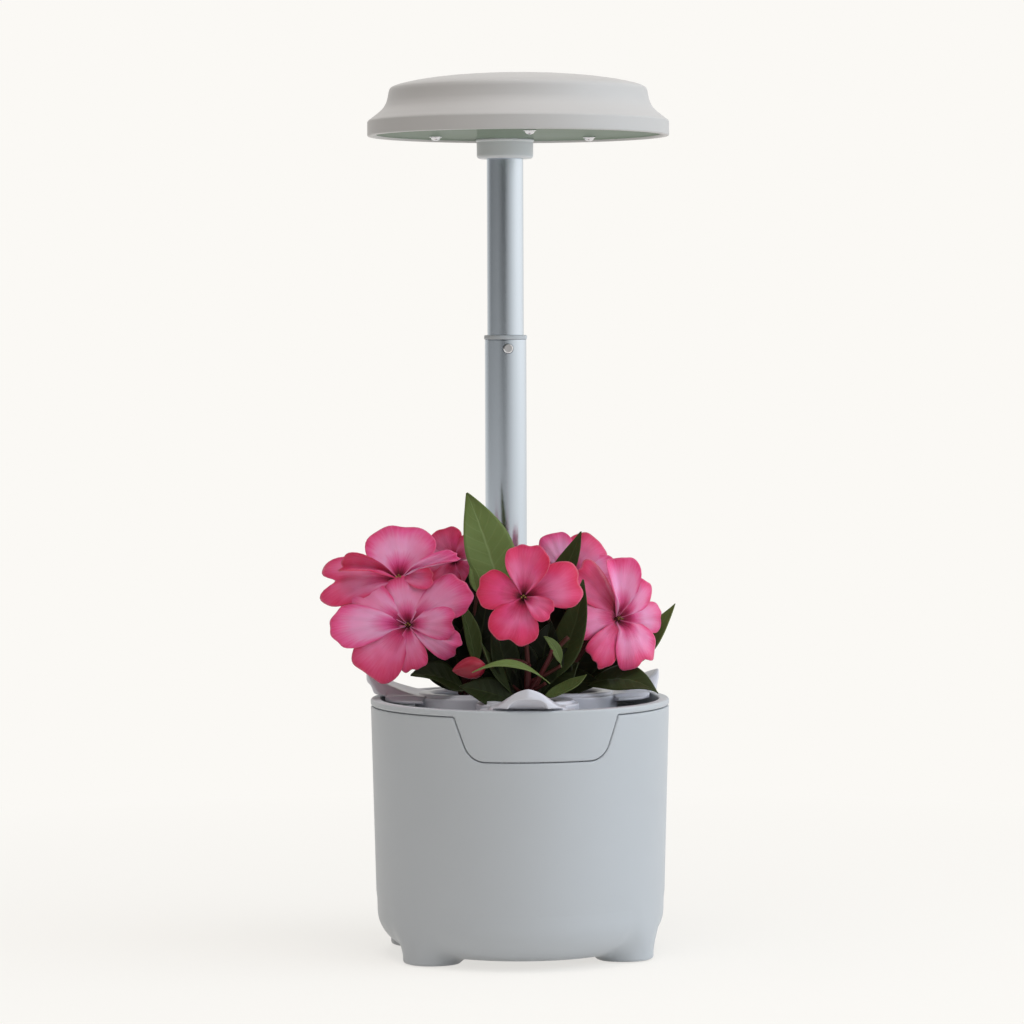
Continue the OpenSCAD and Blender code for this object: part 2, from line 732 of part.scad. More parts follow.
module pod_cap(i) {
    step_r = cap_r - cap_step_w;
    edge = 0.8;
    under_z = cap_top_z - cap_step_h - cap_wall;
    color(plastic) translate(pod_place(i)) rotate(pod_azimuths[i] + cap_turns[i]) {
        revolve(concat([[plant_hole_r, under_z], [cap_r - cap_wall, under_z],
            [cap_r - cap_wall, cap_low_z], [cap_r, cap_low_z]],
            arc([cap_r - edge, cap_top_z - cap_step_h - edge], edge, 0, 90),
            [[step_r + edge / 2, cap_top_z - cap_step_h]],
            arc([step_r - edge, cap_top_z - edge], edge, 0, 90),
            [[plant_hole_r + 2.2, cap_top_z], [plant_hole_r, cap_top_z - 1.4]]));
        rotate(-90) lift_tab();
    }
}

// Slotted cup that hangs from the cap and holds the sponge
module net_cup(i) {
    flange_z = cap_low_z;
    cup_in_r = cup_top_r - cup_wall;
    slot_top = deck_under_z - 8;
    slot_low = cup_low_z + 8;
    color(plastic_shade) translate(pod_place(i)) difference() {
        revolve([[0, cup_low_z], [cup_low_r, cup_low_z], [cup_top_r, deck_under_z],
            [cup_top_r, flange_z], [flange_r, flange_z], [flange_r, flange_z + flange_t],
            [cup_in_r, flange_z + flange_t], [cup_in_r, deck_under_z],
            [cup_low_r - cup_wall, cup_low_z + cup_wall], [0, cup_low_z + cup_wall]]);
        for (k = [0 : cup_slots - 1]) rotate(360 * (k + 0.5) / cup_slots) {
            translate([10, -cup_slot_w / 2, slot_low]) cube([20, cup_slot_w, slot_top - slot_low]);
        }
        for (k = [0 : 5]) rotate(60 * k) translate([5, -cup_slot_w / 2, cup_low_z - over])
            cube([8, cup_slot_w, cup_wall + 2 * over]);
    }
}

module sponge(i) {
    low_r = cup_low_r - cup_wall - 1.4;
    color([0.20, 0.15, 0.11]) translate(pod_place(i)) translate([0, 0, sponge_low_z])
        cylinder(r1 = low_r, r2 = plant_hole_r - 0.4, h = sponge_top_z - sponge_low_z, $fn = 48);
}

// ---------- plants ----------
// A leaf blade from p to q, w wide, turned by roll about its own line
module leaf(p, q, w, roll) {
    v = q - p;
    n = 9;
    long = norm(v);
    side = [for (i = [1 : n - 1]) let (s = i / n) [long * s, w / 2 * sin(180 * pow(s, 0.85))]];
    translate(p) rotate([0, acos(v[2] / long) - 90, atan2(v[1], v[0])]) rotate([roll, 0, 0])
        translate([0, 0, -leaf_t / 2]) linear_extrude(height = leaf_t)
            polygon(concat([[0, 0]], side, [[long, 0]],
                [for (i = [n - 2 : -1 : 0]) [side[i][0], -side[i][1]]]));
}

// Five petals in a shallow dish of diameter d, facing azimuth a and raised by lift
module blossom(p, d, a, lift) {
    n = 60;
    dish = d * 0.1;
    lobe = [for (k = [0 : n - 1]) let (t = 360 * k / n)
        d / 2 * (0.6 + 0.4 * pow(abs(cos(2.5 * t)), 0.7)) * [cos(t), sin(t)]];
    translate(p) rotate(a - 90) rotate([0, 90 - lift, 0]) {
        intersection() {
            revolve([[0, 0], [d * 0.52, dish], [d * 0.52, dish + petal_t], [0, petal_t]]);
            translate([0, 0, -over]) linear_extrude(height = dish + petal_t + 2 * over) polygon(lobe);
        }
        translate([0, 0, -calyx_h]) cylinder(r1 = 1.4, r2 = d * 0.14, h = calyx_h + petal_t / 2, $fn = 24);
    }
}

module plant_leaves(i) {
    color(leaf_green) translate(pod_place(i) + [0, 0, sponge_top_z]) {
        rod([0, 0, 0.3], stem_top[i], stem_r);
        for (f = blossoms[i]) {
            rod(stem_top[i], f[0] - behind(f, calyx_h + 4), twig_r);
            rod(f[0] - behind(f, calyx_h + 6), f[0] - behind(f, calyx_h + seat_gap), 1.25 * twig_r);
        }
        if (i == 0) rod(stem_top[i], bud_stalk, twig_r);
        for (l = leaves[i]) {
            foot_z = min(l[0][2], stem_top[i][2]);
            rod([0, 0, foot_z * 0.6], l[0] + (l[1] - l[0]) * 0.14, twig_r);
            leaf(l[0], l[1], l[2], l[3]);
        }
    }
}

// A step of length s from a blossom's middle towards its back
function behind(f, s) = let (a = f[2], e = f[3]) s * [sin(a) * cos(e), -cos(a) * cos(e), sin(e)];

module plant_blossoms(i) {
    color(petal_pink) translate(pod_place(i) + [0, 0, sponge_top_z]) {
        for (f = blossoms[i]) blossom(f[0], f[1], f[2], f[3]);
        if (i == 0) closed_bud(bud[0], bud[1], bud[2]);
    }
}

// Closed bud, long from end to end
module closed_bud(p, long, d) {
    translate(p) rotate([0, -100, 12]) translate([0, 0, -long / 2])
        revolve(concat([[0, 0]], [for (k = [1 : 7]) let (s = k / 8)
            [d / 2 * pow(sin(180 * pow(s, 0.8)), 0.8), long * s]], [[0, long]]));
}

tank();
foot_pads();
lid();
driver_cover();
cover_screws();
circuit_board();
dc_inlet();
lower_tube();
tube_bush();
lock_button();
upper_tube();
button_spring();
lamp_lead();
neck_collar();
lamp_housing();
led_board();
led_chips();
lens();
lens_washers();
lens_screws();
pod_cap(0);  // cap_front
pod_cap(1);  // cap_right
pod_cap(2);  // cap_left
net_cup(0);  // net_cup_front
net_cup(1);  // net_cup_right
net_cup(2);  // net_cup_left
sponge(0);  // sponge_front
sponge(1);  // sponge_right
sponge(2);  // sponge_left
plant_leaves(0);  // leaves_front
plant_leaves(1);  // leaves_right
plant_leaves(2);  // leaves_left
plant_blossoms(0);  // blossoms_front
plant_blossoms(1);  // blossoms_right
plant_blossoms(2);  // blossoms_left
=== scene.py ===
from functools import partialmethod
from math import acos, asin, atan2, ceil, cos, pi, radians, sin, sqrt, tan

import bmesh
import bpy
import numpy as np
from mathutils import Matrix, Vector
from numpy import clip, hypot, linspace, maximum, minimum, vstack, where


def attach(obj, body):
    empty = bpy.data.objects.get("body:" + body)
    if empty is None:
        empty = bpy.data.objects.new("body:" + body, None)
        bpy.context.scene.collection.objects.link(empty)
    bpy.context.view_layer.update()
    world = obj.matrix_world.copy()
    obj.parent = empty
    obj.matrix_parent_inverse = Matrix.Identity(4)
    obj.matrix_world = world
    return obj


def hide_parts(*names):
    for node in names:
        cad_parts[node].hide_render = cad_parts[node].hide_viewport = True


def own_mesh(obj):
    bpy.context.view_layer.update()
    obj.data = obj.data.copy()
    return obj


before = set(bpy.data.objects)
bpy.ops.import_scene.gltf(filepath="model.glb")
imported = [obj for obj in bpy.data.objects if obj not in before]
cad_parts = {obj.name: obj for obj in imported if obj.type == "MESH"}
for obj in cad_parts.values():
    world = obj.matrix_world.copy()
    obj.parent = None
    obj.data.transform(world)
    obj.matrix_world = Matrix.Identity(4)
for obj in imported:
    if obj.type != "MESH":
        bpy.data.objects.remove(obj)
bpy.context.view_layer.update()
scene = bpy.context.scene
MM = 0.001  # a millimetre in metres
DOUBLE = 2e-6  # points closer than this, in metres, count as one
FULL, QUARTER = 2 * pi, pi / 2
rng = np.random.default_rng(7)


# ---- mesh helpers ----

def new_object(name, data):
    ob = bpy.data.objects.new(name, data)
    scene.collection.objects.link(ob)
    return ob


def new_mesh(name, points, faces, clean=True):
    """A smooth mesh; clean merges double points and turns the normals outwards."""
    data = bpy.data.meshes.new(name)
    data.from_pydata((np.asarray(points, float) * MM).tolist(), [], [list(map(int, f)) for f in faces])
    if clean:
        bm = bmesh.new()
        bm.from_mesh(data)
        bmesh.ops.remove_doubles(bm, verts=bm.verts, dist=DOUBLE)
        bmesh.ops.recalc_face_normals(bm, faces=bm.faces)
        bm.to_mesh(data)
        bm.free()
    data.shade_smooth()
    return data


def make(name, points, faces, material, body, slot, stands_for=(), uv=None, clean=True):
    """A mesh object that rides on a CAD body and stands for CAD nodes."""
    data = new_mesh(name, points, faces, clean)
    if uv is not None:
        layer = data.uv_layers.new(name="UVMap")
        index = np.zeros(len(data.loops), np.int32)
        data.loops.foreach_get("vertex_index", index)
        layer.data.foreach_set("uv", np.asarray(uv, np.float32)[index].ravel())
    ob = new_object(name, data)
    data.materials.append(material)
    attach(ob, body)
    if stands_for:
        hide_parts(*stands_for)
    return ob


def baked(ob):
    """The object's mesh with its modifiers applied."""
    return bpy.data.meshes.new_from_object(ob.evaluated_get(bpy.context.evaluated_depsgraph_get()))


def cut(ob, *tools):
    """Takes closed (points, faces) away from a mesh object."""
    for points, faces in tools:
        cutter = new_object("tool", new_mesh("tool", points, faces))
        mod = ob.modifiers.new("cut", "BOOLEAN")
        mod.operation, mod.solver, mod.object = "DIFFERENCE", "EXACT", cutter
        done = baked(ob)
        ob.modifiers.remove(mod)
        old, ob.data = ob.data, done
        bpy.data.objects.remove(cutter)
        bpy.data.meshes.remove(old)
    ob.data.shade_smooth()


def add_to(ob, *parts):
    """Joins (points, faces) into a mesh object."""
    bm = bmesh.new()
    bm.from_mesh(ob.data)
    for points, faces in parts:
        more = new_mesh("more", points, faces)
        bm.from_mesh(more)
        bpy.data.meshes.remove(more)
    bm.to_mesh(ob.data)
    bm.free()


def crisp(ob):
    """Flat faces stay flat beside small roundings."""
    ob.modifiers.new("normals", "WEIGHTED_NORMAL").keep_sharp = True


def melted(name, voxel, rounds, *parts):
    """Closed parts as one skin with soft inner corners: (points, faces)."""
    data = bpy.data.meshes.new(name)
    ob = new_object(name, data)
    add_to(ob, *parts)
    skin = ob.modifiers.new("skin", "REMESH")
    skin.mode, skin.voxel_size = "VOXEL", voxel * MM
    soft = ob.modifiers.new("soft", "SMOOTH")
    soft.factor, soft.iterations = 0.5, rounds
    done = baked(ob)
    points = np.zeros(len(done.vertices) * 3)
    done.vertices.foreach_get("co", points)
    faces = [list(f.vertices) for f in done.polygons]
    bpy.data.objects.remove(ob)
    bpy.data.meshes.remove(data)
    bpy.data.meshes.remove(done)
    return points.reshape(-1, 3) / MM, faces


def dress_cad(node, material, bevel):
    """Shows a CAD node with a material and a small rounding on its edges."""
    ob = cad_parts[node]
    ob.data.materials.clear()
    ob.data.materials.append(material)
    ob.data.shade_smooth()
    ob.modifiers.new("weld", "WELD").merge_threshold = DOUBLE
    edge = ob.modifiers.new("edge", "BEVEL")
    edge.width, edge.segments, edge.limit_method = bevel * MM, 2, "ANGLE"
    edge.angle_limit = radians(38)
    ob.modifiers.new("normals", "WEIGHTED_NORMAL")


# ---- shapes: points, and points with faces ----

def smooth_min(a, b, k):
    """The smaller of a and b, blended where they differ by less than k."""
    h = clip(0.5 + 0.5 * (b - a) / k, 0, 1)
    return b + (a - b) * h - k * h * (1 - h)


def unit(v):
    return v / np.linalg.norm(v, axis=-1, keepdims=True)


def smooth_step(x):
    x = clip(x, 0, 1)
    return x * x * (3 - 2 * x)


def grid_faces(n, m, wrap_rows=False, wrap_cols=True):
    """Quads of an n by m grid of points, row by row."""
    rows, cols = np.arange(n if wrap_rows else n - 1), np.arange(m if wrap_cols else m - 1)
    i, j = (k.ravel() for k in np.meshgrid(rows, cols, indexing="ij"))
    i2, j2 = (i + 1) % n, (j + 1) % m
    return np.stack([i * m + j, i * m + j2, i2 * m + j2, i2 * m + j], 1)


def capped(n, m):
    """Faces of n rings of m points, with one face over each end."""
    return grid_faces(n, m).tolist() + [list(range(m))[::-1], list(range((n - 1) * m, n * m))]


def angles(n):
    """n angles all the way round."""
    return linspace(0, FULL, n, endpoint=False)


def join(*parts):
    """Several (points, faces) as one."""
    points = [np.asarray(v, float).reshape(-1, 3) for v, _ in parts]
    bases = np.cumsum([0] + [len(v) for v in points])
    faces = [[k + base for k in face] for (_, f), base in zip(parts, bases) for face in f]
    return vstack(points), faces


def turned(part, matrix):
    """(points, faces) moved by a 4x4 matrix."""
    m = np.array(matrix, float)
    return np.asarray(part[0]) @ m[:3, :3].T + m[:3, 3], part[1]


def around(turn, r, z):
    """Points at angles from the front, radii and heights."""
    return np.stack(np.broadcast_arrays(r * np.sin(turn), -r * np.cos(turn), z), -1)


def at(azimuth, r, z=0.0):
    """The point at an azimuth in degrees, a radius and a height."""
    a = radians(azimuth)
    return np.array([r * sin(a), -r * cos(a), z])


def rounded(corners, steps=5):
    """A polyline of (x, y, radius) with its corners rounded."""
    pts = [np.array(p[:2], float) for p in corners]
    out = [pts[0]]
    for k in range(1, len(pts) - 1):
        a, b, c, r = pts[k - 1], pts[k], pts[k + 1], corners[k][2]
        u, w = unit(a - b), unit(c - b)
        half = acos(clip(u @ w, -1, 1)) / 2
        if r <= 0 or half > 1.56:
            out.append(b)
            continue
        t = min(r / tan(half), 0.49 * np.linalg.norm(a - b), 0.49 * np.linalg.norm(c - b))
        r = t * tan(half)
        mid = b + unit(u + w) * (r / sin(half))
        p, q = b + u * t - mid, b + w * t - mid
        turn = atan2(p[0] * q[1] - p[1] * q[0], p @ q)
        for g in turn * np.arange(steps + 1) / steps:
            c, s = cos(g), sin(g)
            out.append(mid + [p[0] * c - p[1] * s, p[0] * s + p[1] * c])
    out.append(pts[-1])
    return np.array(out)


def lathe(profile, place=(0, 0, 0), n=96, support=0.25):
    """(points, faces) of a profile of (radius, height) turned about a vertical line. A long edge gets a point
    near each end, so that a rounding's shading stays on the rounding."""
    profile = np.asarray(profile, float)
    if support:
        held = [profile[0]]
        for a, b in zip(profile[:-1], profile[1:]):
            long = np.linalg.norm(b - a)
            if long > 6 * support:
                held += [a + (b - a) * support / long, b - (b - a) * support / long]
            held.append(b)
        profile = np.array(held)
    pts = around(angles(n), profile[:, :1], profile[:, 1:])
    return pts.reshape(-1, 3) + np.array(place, float), grid_faces(len(profile), n).tolist()


def rod(r, low, high, place=(0, 0, 0), n=48):
    """An upright cylinder to cut with."""
    return lathe([(0, low), (r, low), (r, high), (0, high)], place, n, support=0)


def spline(points, per):
    """A Catmull-Rom curve with per steps between two points."""
    p = np.array(points, float)
    p = vstack([2 * p[0] - p[1], p, 2 * p[-1] - p[-2]])
    out = []
    for a, b, c, d in zip(p[:-3], p[1:-2], p[2:-1], p[3:]):
        for s in linspace(0, 1, per, endpoint=False):
            out.append(0.5 * (2 * b + (c - a) * s + (2 * a - 5 * b + 4 * c - d) * s ** 2
                              + (3 * b - a - 3 * c + d) * s ** 3))
    return np.array(out + [p[-2]])


def frame_along(line, hint):
    """Unit vectors ahead along a line, and across it and square to a hint."""
    ahead = unit(np.gradient(line, axis=0))
    return ahead, unit(np.cross(ahead, hint))


def sweep(line, radius, hint, m, way=1):
    """(points, faces) of a section of m points along a line, with a radius for each ring or point. way is the
    sense, 1 or -1, in which the points go round."""
    ahead, side = frame_along(line, hint)
    over = np.cross(ahead, side)
    g = way * angles(m)[None, :, None]
    points = line[:, None] + radius * (np.cos(g) * side[:, None] + np.sin(g) * over[:, None])
    return points.reshape(-1, 3), capped(len(line), m)


# ---- materials ----

class Nodes:
    """A short way to write node trees. A value is a number, a colour or a node's output."""

    def __init__(self, tree):
        self.tree = tree

    def add(self, kind, feeds=(), **settings):
        node = self.tree.nodes.new("ShaderNode" + kind)
        for key, value in settings.items():
            setattr(node, key, value)
        for key, value in feeds:
            self.feed(node.inputs[key], value)
        return node

    def feed(self, socket, value):
        if isinstance(value, (int, float)):
            socket.default_value = value
        elif isinstance(value, (tuple, list)):
            socket.default_value = (*value, 1)
        else:
            self.tree.links.new(value, socket)

    def math(self, op, a, b=0.5, clamp=False):
        return self.add("Math", ((0, a), (1, b)), operation=op, use_clamp=clamp).outputs[0]

    plus = partialmethod(math, "ADD")
    minus = partialmethod(math, "SUBTRACT")
    times = partialmethod(math, "MULTIPLY")

    def most(self, a, *others):
        for b in others:
            a = self.math("MAXIMUM", a, b)
        return a

    def mix(self, factor, a, b):
        return self.add("Mix", (("Factor", factor), (6, a), (7, b)), data_type="RGBA").outputs[2]

    def ramp(self, factor, *stops):
        node = self.add("ValToRGB", ((0, factor),))
        marks = node.color_ramp.elements
        while len(marks) < len(stops):
            marks.new(0.5)
        for mark, (place, *colour) in zip(marks, stops):
            mark.position = place
            mark.color = (*colour, 1)
        return node.outputs[0]

    def noise(self, vector, scale, detail=3.0, rough=0.5, stretch=None):
        if stretch:
            mapping = self.add("Mapping", ((0, vector),))
            mapping.inputs["Scale"].default_value = stretch
            vector = mapping.outputs[0]
        feeds = (("Vector", vector), ("Scale", scale), ("Detail", detail), ("Roughness", rough))
        return self.add("TexNoise", feeds).outputs[0]

    def bump(self, height, strength, distance):
        feeds = (("Height", height), ("Strength", strength), ("Distance", distance))
        return self.add("Bump", feeds).outputs[0]


class Look(Nodes):
    """A material, its shader and its object coordinates (place)."""

    def __init__(self, name, colour, roughness, **constants):
        self.mat = bpy.data.materials.new(name)
        self.mat.use_nodes = True
        self.mat.diffuse_color = (*colour, 1)
        super().__init__(self.mat.node_tree)
        self.shader = self.tree.nodes["Principled BSDF"]
        self.place = self.add("TexCoord").outputs["Object"]
        self.put("Base Color", colour)
        self.put("Roughness", roughness)
        for key, value in constants.items():
            self.put(key.replace("_", " "), value)

    def put(self, name, value):
        """Feeds one of the shader's inputs."""
        self.feed(self.shader.inputs[name], value)

    def wander(self, *noise):
        """Noise over the object: scale, detail, roughness, stretch."""
        return self.noise(self.place, *noise)

    def tone(self):
        """The tone stored on a plant's points, 0 pale and 1 deep; on leaves the deep end is painted shade."""
        return self.add("Attribute", attribute_name="tone").outputs["Fac"]

    def across_along(self):
        """UV, distance from a blade's middle line (0 to 1), place along its length."""
        uv = self.add("UVMap", uv_map="UVMap").outputs[0]
        split = self.add("SeparateXYZ", ((0, uv),))
        middle = self.math("ABSOLUTE", self.minus(self.times(split.outputs[0], 2.0), 1.0))
        return uv, middle, split.outputs[1]


def plastic(name, colour, roughness, grain=0.05, tone=0.03):
    """Moulded plastic: a fine grain, a slight unevenness in tone and in gloss."""
    m = Look(name, colour, roughness)
    dark, light = [c * (1 - tone) for c in colour], [min(1, c * (1 + tone)) for c in colour]
    m.put("Base Color", m.mix(m.wander(14, 2), dark, light))
    m.put("Roughness", m.plus(m.times(m.wander(90, 3), 0.1), roughness - 0.05))
    m.put("Normal", m.bump(m.wander(2600, 2), grain, 0.00008))
    return m.mat


def metal(name, colour, roughness, stretch=(1, 1, 1), scale=600, grain=0.15, spread=0.12):
    """Metal with fine drawn lines along one axis."""
    m = Look(name, colour, roughness, Metallic=1.0)
    lines = m.wander(scale, 3, 0.6, stretch)
    m.put("Base Color", m.mix(m.wander(30, 2), [c * 0.96 for c in colour], colour))
    m.put("Roughness", m.plus(m.times(lines, spread), roughness - spread / 2))
    m.put("Normal", m.bump(lines, grain, 0.00003))
    return m.mat


def mottled(name, colour, roughness, noise, low, high, relief=None, **constants):
    """A colour that wanders between low and high by a noise. relief is a bump's strength, its depth in metres
    and its own noise."""
    m = Look(name, colour, roughness, **constants)
    m.put("Base Color", m.mix(m.wander(*noise), low, high))
    if relief:
        m.put("Normal", m.bump(m.wander(*relief[2:]), *relief[:2]))
    return m


def painted_reflection_lens_look():
    """Dull acrylic whose mottled green is a painted reflection of the plants. It hardly reflects for real, as
    a white room would turn it white.
    """
    # painted reflection: the green colours stand for the plants mirrored in the lens
    m = mottled("lens_reflection_paint", (0.25, 0.34, 0.24), 0.1, (22, 3), (0.21, 0.285, 0.195), (0.31, 0.36, 0.32),
                Transmission_Weight=0.25, IOR=1.004)
    m.put("Roughness", m.plus(m.times(m.wander(40, 3), 0.06), 0.07))
    return m.mat


def petal_look():
    """A dark throat, pale pink to deep rose by tone and in patches, veins, and a painted highlight along the
    rim.
    """
    m = Look("petal", (0.72, 0.3, 0.42), 0.5, Subsurface_Weight=0.15, Subsurface_Scale=0.002,
             Sheen_Weight=0.12)
    uv, _, along = m.across_along()
    streak, veins = m.noise(uv, 5, 3, 0.6, (7, 0.5, 1)), m.noise(uv, 9, 2, 0.5, (16, 0.35, 1))
    spot = m.plus(along, m.times(m.minus(streak, 0.5), 0.26))
    pale = m.ramp(spot, (0.0, 0.03, 0.001, 0.004), (0.09, 0.14, 0.001, 0.02), (0.19, 0.52, 0.003, 0.12),
                  (0.31, 0.76, 0.11, 0.32), (0.5, 0.84, 0.36, 0.59), (0.72, 0.84, 0.3, 0.53),
                  (0.88, 0.82, 0.12, 0.33), (1.0, 0.74, 0.04, 0.19))
    deep = m.ramp(spot, (0.0, 0.025, 0.001, 0.003), (0.13, 0.14, 0.001, 0.012), (0.28, 0.46, 0.005, 0.06),
                  (0.55, 0.73, 0.052, 0.2), (0.8, 0.68, 0.026, 0.12), (1.0, 0.56, 0.006, 0.05))
    blush = m.plus(m.tone(), m.times(m.minus(m.wander(46, 2, 0.5), 0.5), 1.6), True)
    # painted highlight: a pale line along the rim stands for the petal's edge catching the light
    rim = m.times(m.times(m.minus(along, 0.965), 22.0, True), 0.22)
    blade = m.mix(rim, m.mix(blush, pale, deep), (0.9, 0.45, 0.6))
    m.put("Base Color", m.mix(m.times(veins, 0.16), blade, (0.42, 0.02, 0.1)))
    m.put("Normal", m.bump(veins, 0.5, 0.0006))
    return m.mat


def leaf_look():
    """Light green to almost black by tone, with a middle vein, side veins and a paler border. The dark end of
    the tone is painted shade for leaves deep in the foliage.
    """
    m = Look("leaf_blade", (0.1, 0.14, 0.04), 0.48, Subsurface_Weight=0.05, Subsurface_Scale=0.002,
             Specular_IOR_Level=0.14)
    _, middle, along = m.across_along()
    tone, cloud = m.tone(), m.wander(60, 3)
    # painted shade: the tone runs from the leaves' own light green to near black, which stands for the shade
    # inside the plant
    green = m.mix(tone, (0.125, 0.17, 0.052), (0.004, 0.006, 0.002))
    olive = m.mix(tone, (0.075, 0.095, 0.02), (0.012, 0.012, 0.004))
    light = m.mix(tone, (0.22, 0.27, 0.11), (0.032, 0.04, 0.014))
    herring = m.math("SINE", m.times(m.minus(along, m.times(middle, 0.16)), 62.0))
    side_vein = m.times(m.minus(herring, 0.8), 4.0, True)
    mid_vein = m.minus(1.0, m.times(middle, 13.0), True)
    border = m.times(m.minus(middle, 0.9), 9.0, True)
    lines = m.most(m.times(side_vein, 0.3), mid_vein, m.times(border, 0.75))
    m.put("Base Color", m.mix(m.times(lines, 0.55), m.mix(m.times(cloud, 0.25), green, olive), light))
    m.put("Normal", m.bump(m.minus(cloud, m.times(lines, 0.6)), 0.5, 0.0006))
    m.put("Roughness", m.plus(m.times(cloud, 0.2), 0.3))
    return m.mat


shell = plastic("shell_plastic", (0.45, 0.468, 0.492), 0.4)
cap_mat = plastic("cap_plastic", (0.57, 0.565, 0.62), 0.3, 0.02)
lamp_mat = plastic("lamp_plastic", (0.475, 0.46, 0.452), 0.4)
# painted light: the collar's plastic is made lighter than the lamp's, to offset the shade that the lamp
# throws on it
collar_painted_light_mat = plastic("collar_plastic_painted_light", (0.6, 0.61, 0.63), 0.36)
inner_mat = plastic("inner_plastic", (0.42, 0.43, 0.45), 0.5)
rubber_mat = plastic("pad_rubber", (0.045, 0.045, 0.048), 0.75, 0.3, 0.15)
inlet_mat = plastic("inlet_plastic", (0.03, 0.03, 0.032), 0.35, 0.05, 0.1)
lead_mat = plastic("lead_sheath", (0.035, 0.035, 0.038), 0.5, 0.1, 0.1)
board_white = plastic("white_board", (0.62, 0.66, 0.64), 0.38, 0.03)
tube_mat = metal("anodised_aluminium", (0.55, 0.61, 0.68), 0.24, (1, 1, 0.01), 900, 0.1)
chrome_mat = metal("polished_screw", (0.72, 0.72, 0.74), 0.16, (1, 1, 1), 400, 0.04, 0.06)
steel_mat = metal("plain_steel", (0.5, 0.5, 0.52), 0.34)
chip_mat = mottled("phosphor", (0.86, 0.7, 0.22), 0.25, (2500, 2), (0.8, 0.58, 0.12), (0.9, 0.78, 0.34),
                   Coat_Weight=0.5).mat
board_mat = mottled("green_board", (0.02, 0.16, 0.07), 0.35, (900, 4), (0.01, 0.1, 0.04),
                    (0.04, 0.22, 0.1)).mat
sponge_mat = mottled("sponge_foam", (0.035, 0.022, 0.015), 0.95, (900, 4, 0.7), (0.008, 0.006, 0.004),
                     (0.07, 0.045, 0.032), (0.9, 0.0008, 900, 4, 0.7)).mat
stem_mat = mottled("stem", (0.09, 0.01, 0.02), 0.45, (45, 3, 0.6, (1, 1, 0.4)), (0.085, 0.004, 0.014),
                   (0.03, 0.024, 0.009), (0.3, 0.0004, 500, 2, 0.5, (1, 1, 0.15)), Specular_IOR_Level=0.2).mat
pollen_mat = mottled("pollen", (0.42, 0.3, 0.08), 0.6, (700, 3), (0.48, 0.36, 0.1), (0.1, 0.04, 0.02)).mat
bud_mat = mottled("bud", (0.45, 0.02, 0.05), 0.45, (220, 3, 0.6, (0.3, 1, 1)), (0.4, 0.012, 0.04),
                  (0.15, 0.005, 0.014), (0.4, 0.0005, 500, 2, 0.5, (0.3, 1, 1)),
                  Subsurface_Weight=0.1, Subsurface_Scale=0.002).mat
lens_mat, petal_mat, leaf_mat = painted_reflection_lens_look(), petal_look(), leaf_look()

# ---- sizes, as in the part's source ----
TOP_R, LOW_R, TANK_H, WALL, ROUND, LIFT = 80.0, 77.3, 133.4, 2.6, 22.0, 3.6
FOOT_R, FOOT_AT, FOOT_LOW, FOOT_ROUND, PAD_R = 15.0, 61.8, 0.5, 1.6, 10.0
FEET = (-57, 57, 123, -123)  # azimuths
SEAM, GAP, RIM, DECK, DECK_T = 133.75, 0.35, 137.2, 129.0, 2.2
APRON_H, APRON_LOW, APRON_TOP = 23.2, 35.5, 43.4  # drop, half widths below and above
SKIRT_R, SKIRT_T, SKIRT_Z = 76.6, 2.0, 121.35
PODS = (("front", 0, -7), ("right", 120, -15.7), ("left", -120, 16))  # name, azimuth, turn of the tab
POD_AT, CAP_R, CAP_TOP, HOLE_R, SPONGE_TOP = 32.0, 27.2, 139.2, 17.5, 135.8
POD_PLACES = [at(azimuth, POD_AT) for _, azimuth, _ in PODS]
POLE_Y, SOCKET_Z, BUTTON_Z = 58.0, 119.4, 324.2
LOWER_R, LOWER_TOP, UPPER_R = 11.4, 329.2, 10.0
LAMP_Z, LAMP_R, MOUTH_R, BOARD_Z = 437.6, 80.5, 76.5, 440.6
INLET_X, INLET_Z = 24.5, 117.3
ON_POLE = (0, POLE_Y, 0)
TAPER = (TOP_R - LOW_R) / (TANK_H - LIFT - ROUND)


def wall_r(z):
    """The outer radius of the tank's wall."""
    return TOP_R - TAPER * (TANK_H - np.asarray(z, float))


# ---- seam between tank and lid, with the aprons ----

def seam_curve():
    """The lid's lower edge all the way round, as (arc, height), and unit normals that point at the tank."""
    turn = TOP_R * pi
    low, top = (TOP_R * asin(x / TOP_R) for x in (APRON_LOW, APRON_TOP))
    quarter = rounded([(0, SEAM - APRON_H, 0), (low, SEAM - APRON_H, 12.3), (top, SEAM, 1.4),
                       (turn / 2, SEAM, 0)], 12)
    fine = [quarter[0]]
    for end in quarter[1:]:
        start = fine[-1]
        long = np.linalg.norm(end - start)
        if long > 1e-6:
            count = ceil(long / (0.9 if end[1] > SEAM - 0.01 else 1.6))
            fine += [start + (end - start) * k / count for k in range(1, count + 1)]
    q = np.array(fine)
    half = vstack([q, np.column_stack([turn - q[-2:0:-1, 0], q[-2:0:-1, 1]])])
    left = np.column_stack([2 * turn - half[:0:-1, 0], half[:0:-1, 1]])
    curve = vstack([half, [[turn, q[0, 1]]], left])
    lap = np.array([[2 * turn, 0]])
    along = unit(vstack([curve[1:], curve[:1] + lap]) - vstack([curve[-1:] - lap, curve[:-1]]))
    return curve, np.column_stack([along[:, 1], -along[:, 0]])


CURVE, TO_TANK = seam_curve()
AZIMUTH = CURVE[:, 0] / TOP_R


def circle(r, z):
    """A ring with one point at each azimuth of the seam."""
    return around(AZIMUTH, r, z)


def seam_ring(offset, inset=0.0, radius=None):
    """A ring offset from the seam towards the tank, and inset from the wall or at a radius."""
    p = CURVE + TO_TANK * offset
    return around(p[:, 0] / TOP_R, wall_r(p[:, 1]) - inset if radius is None else radius, p[:, 1])


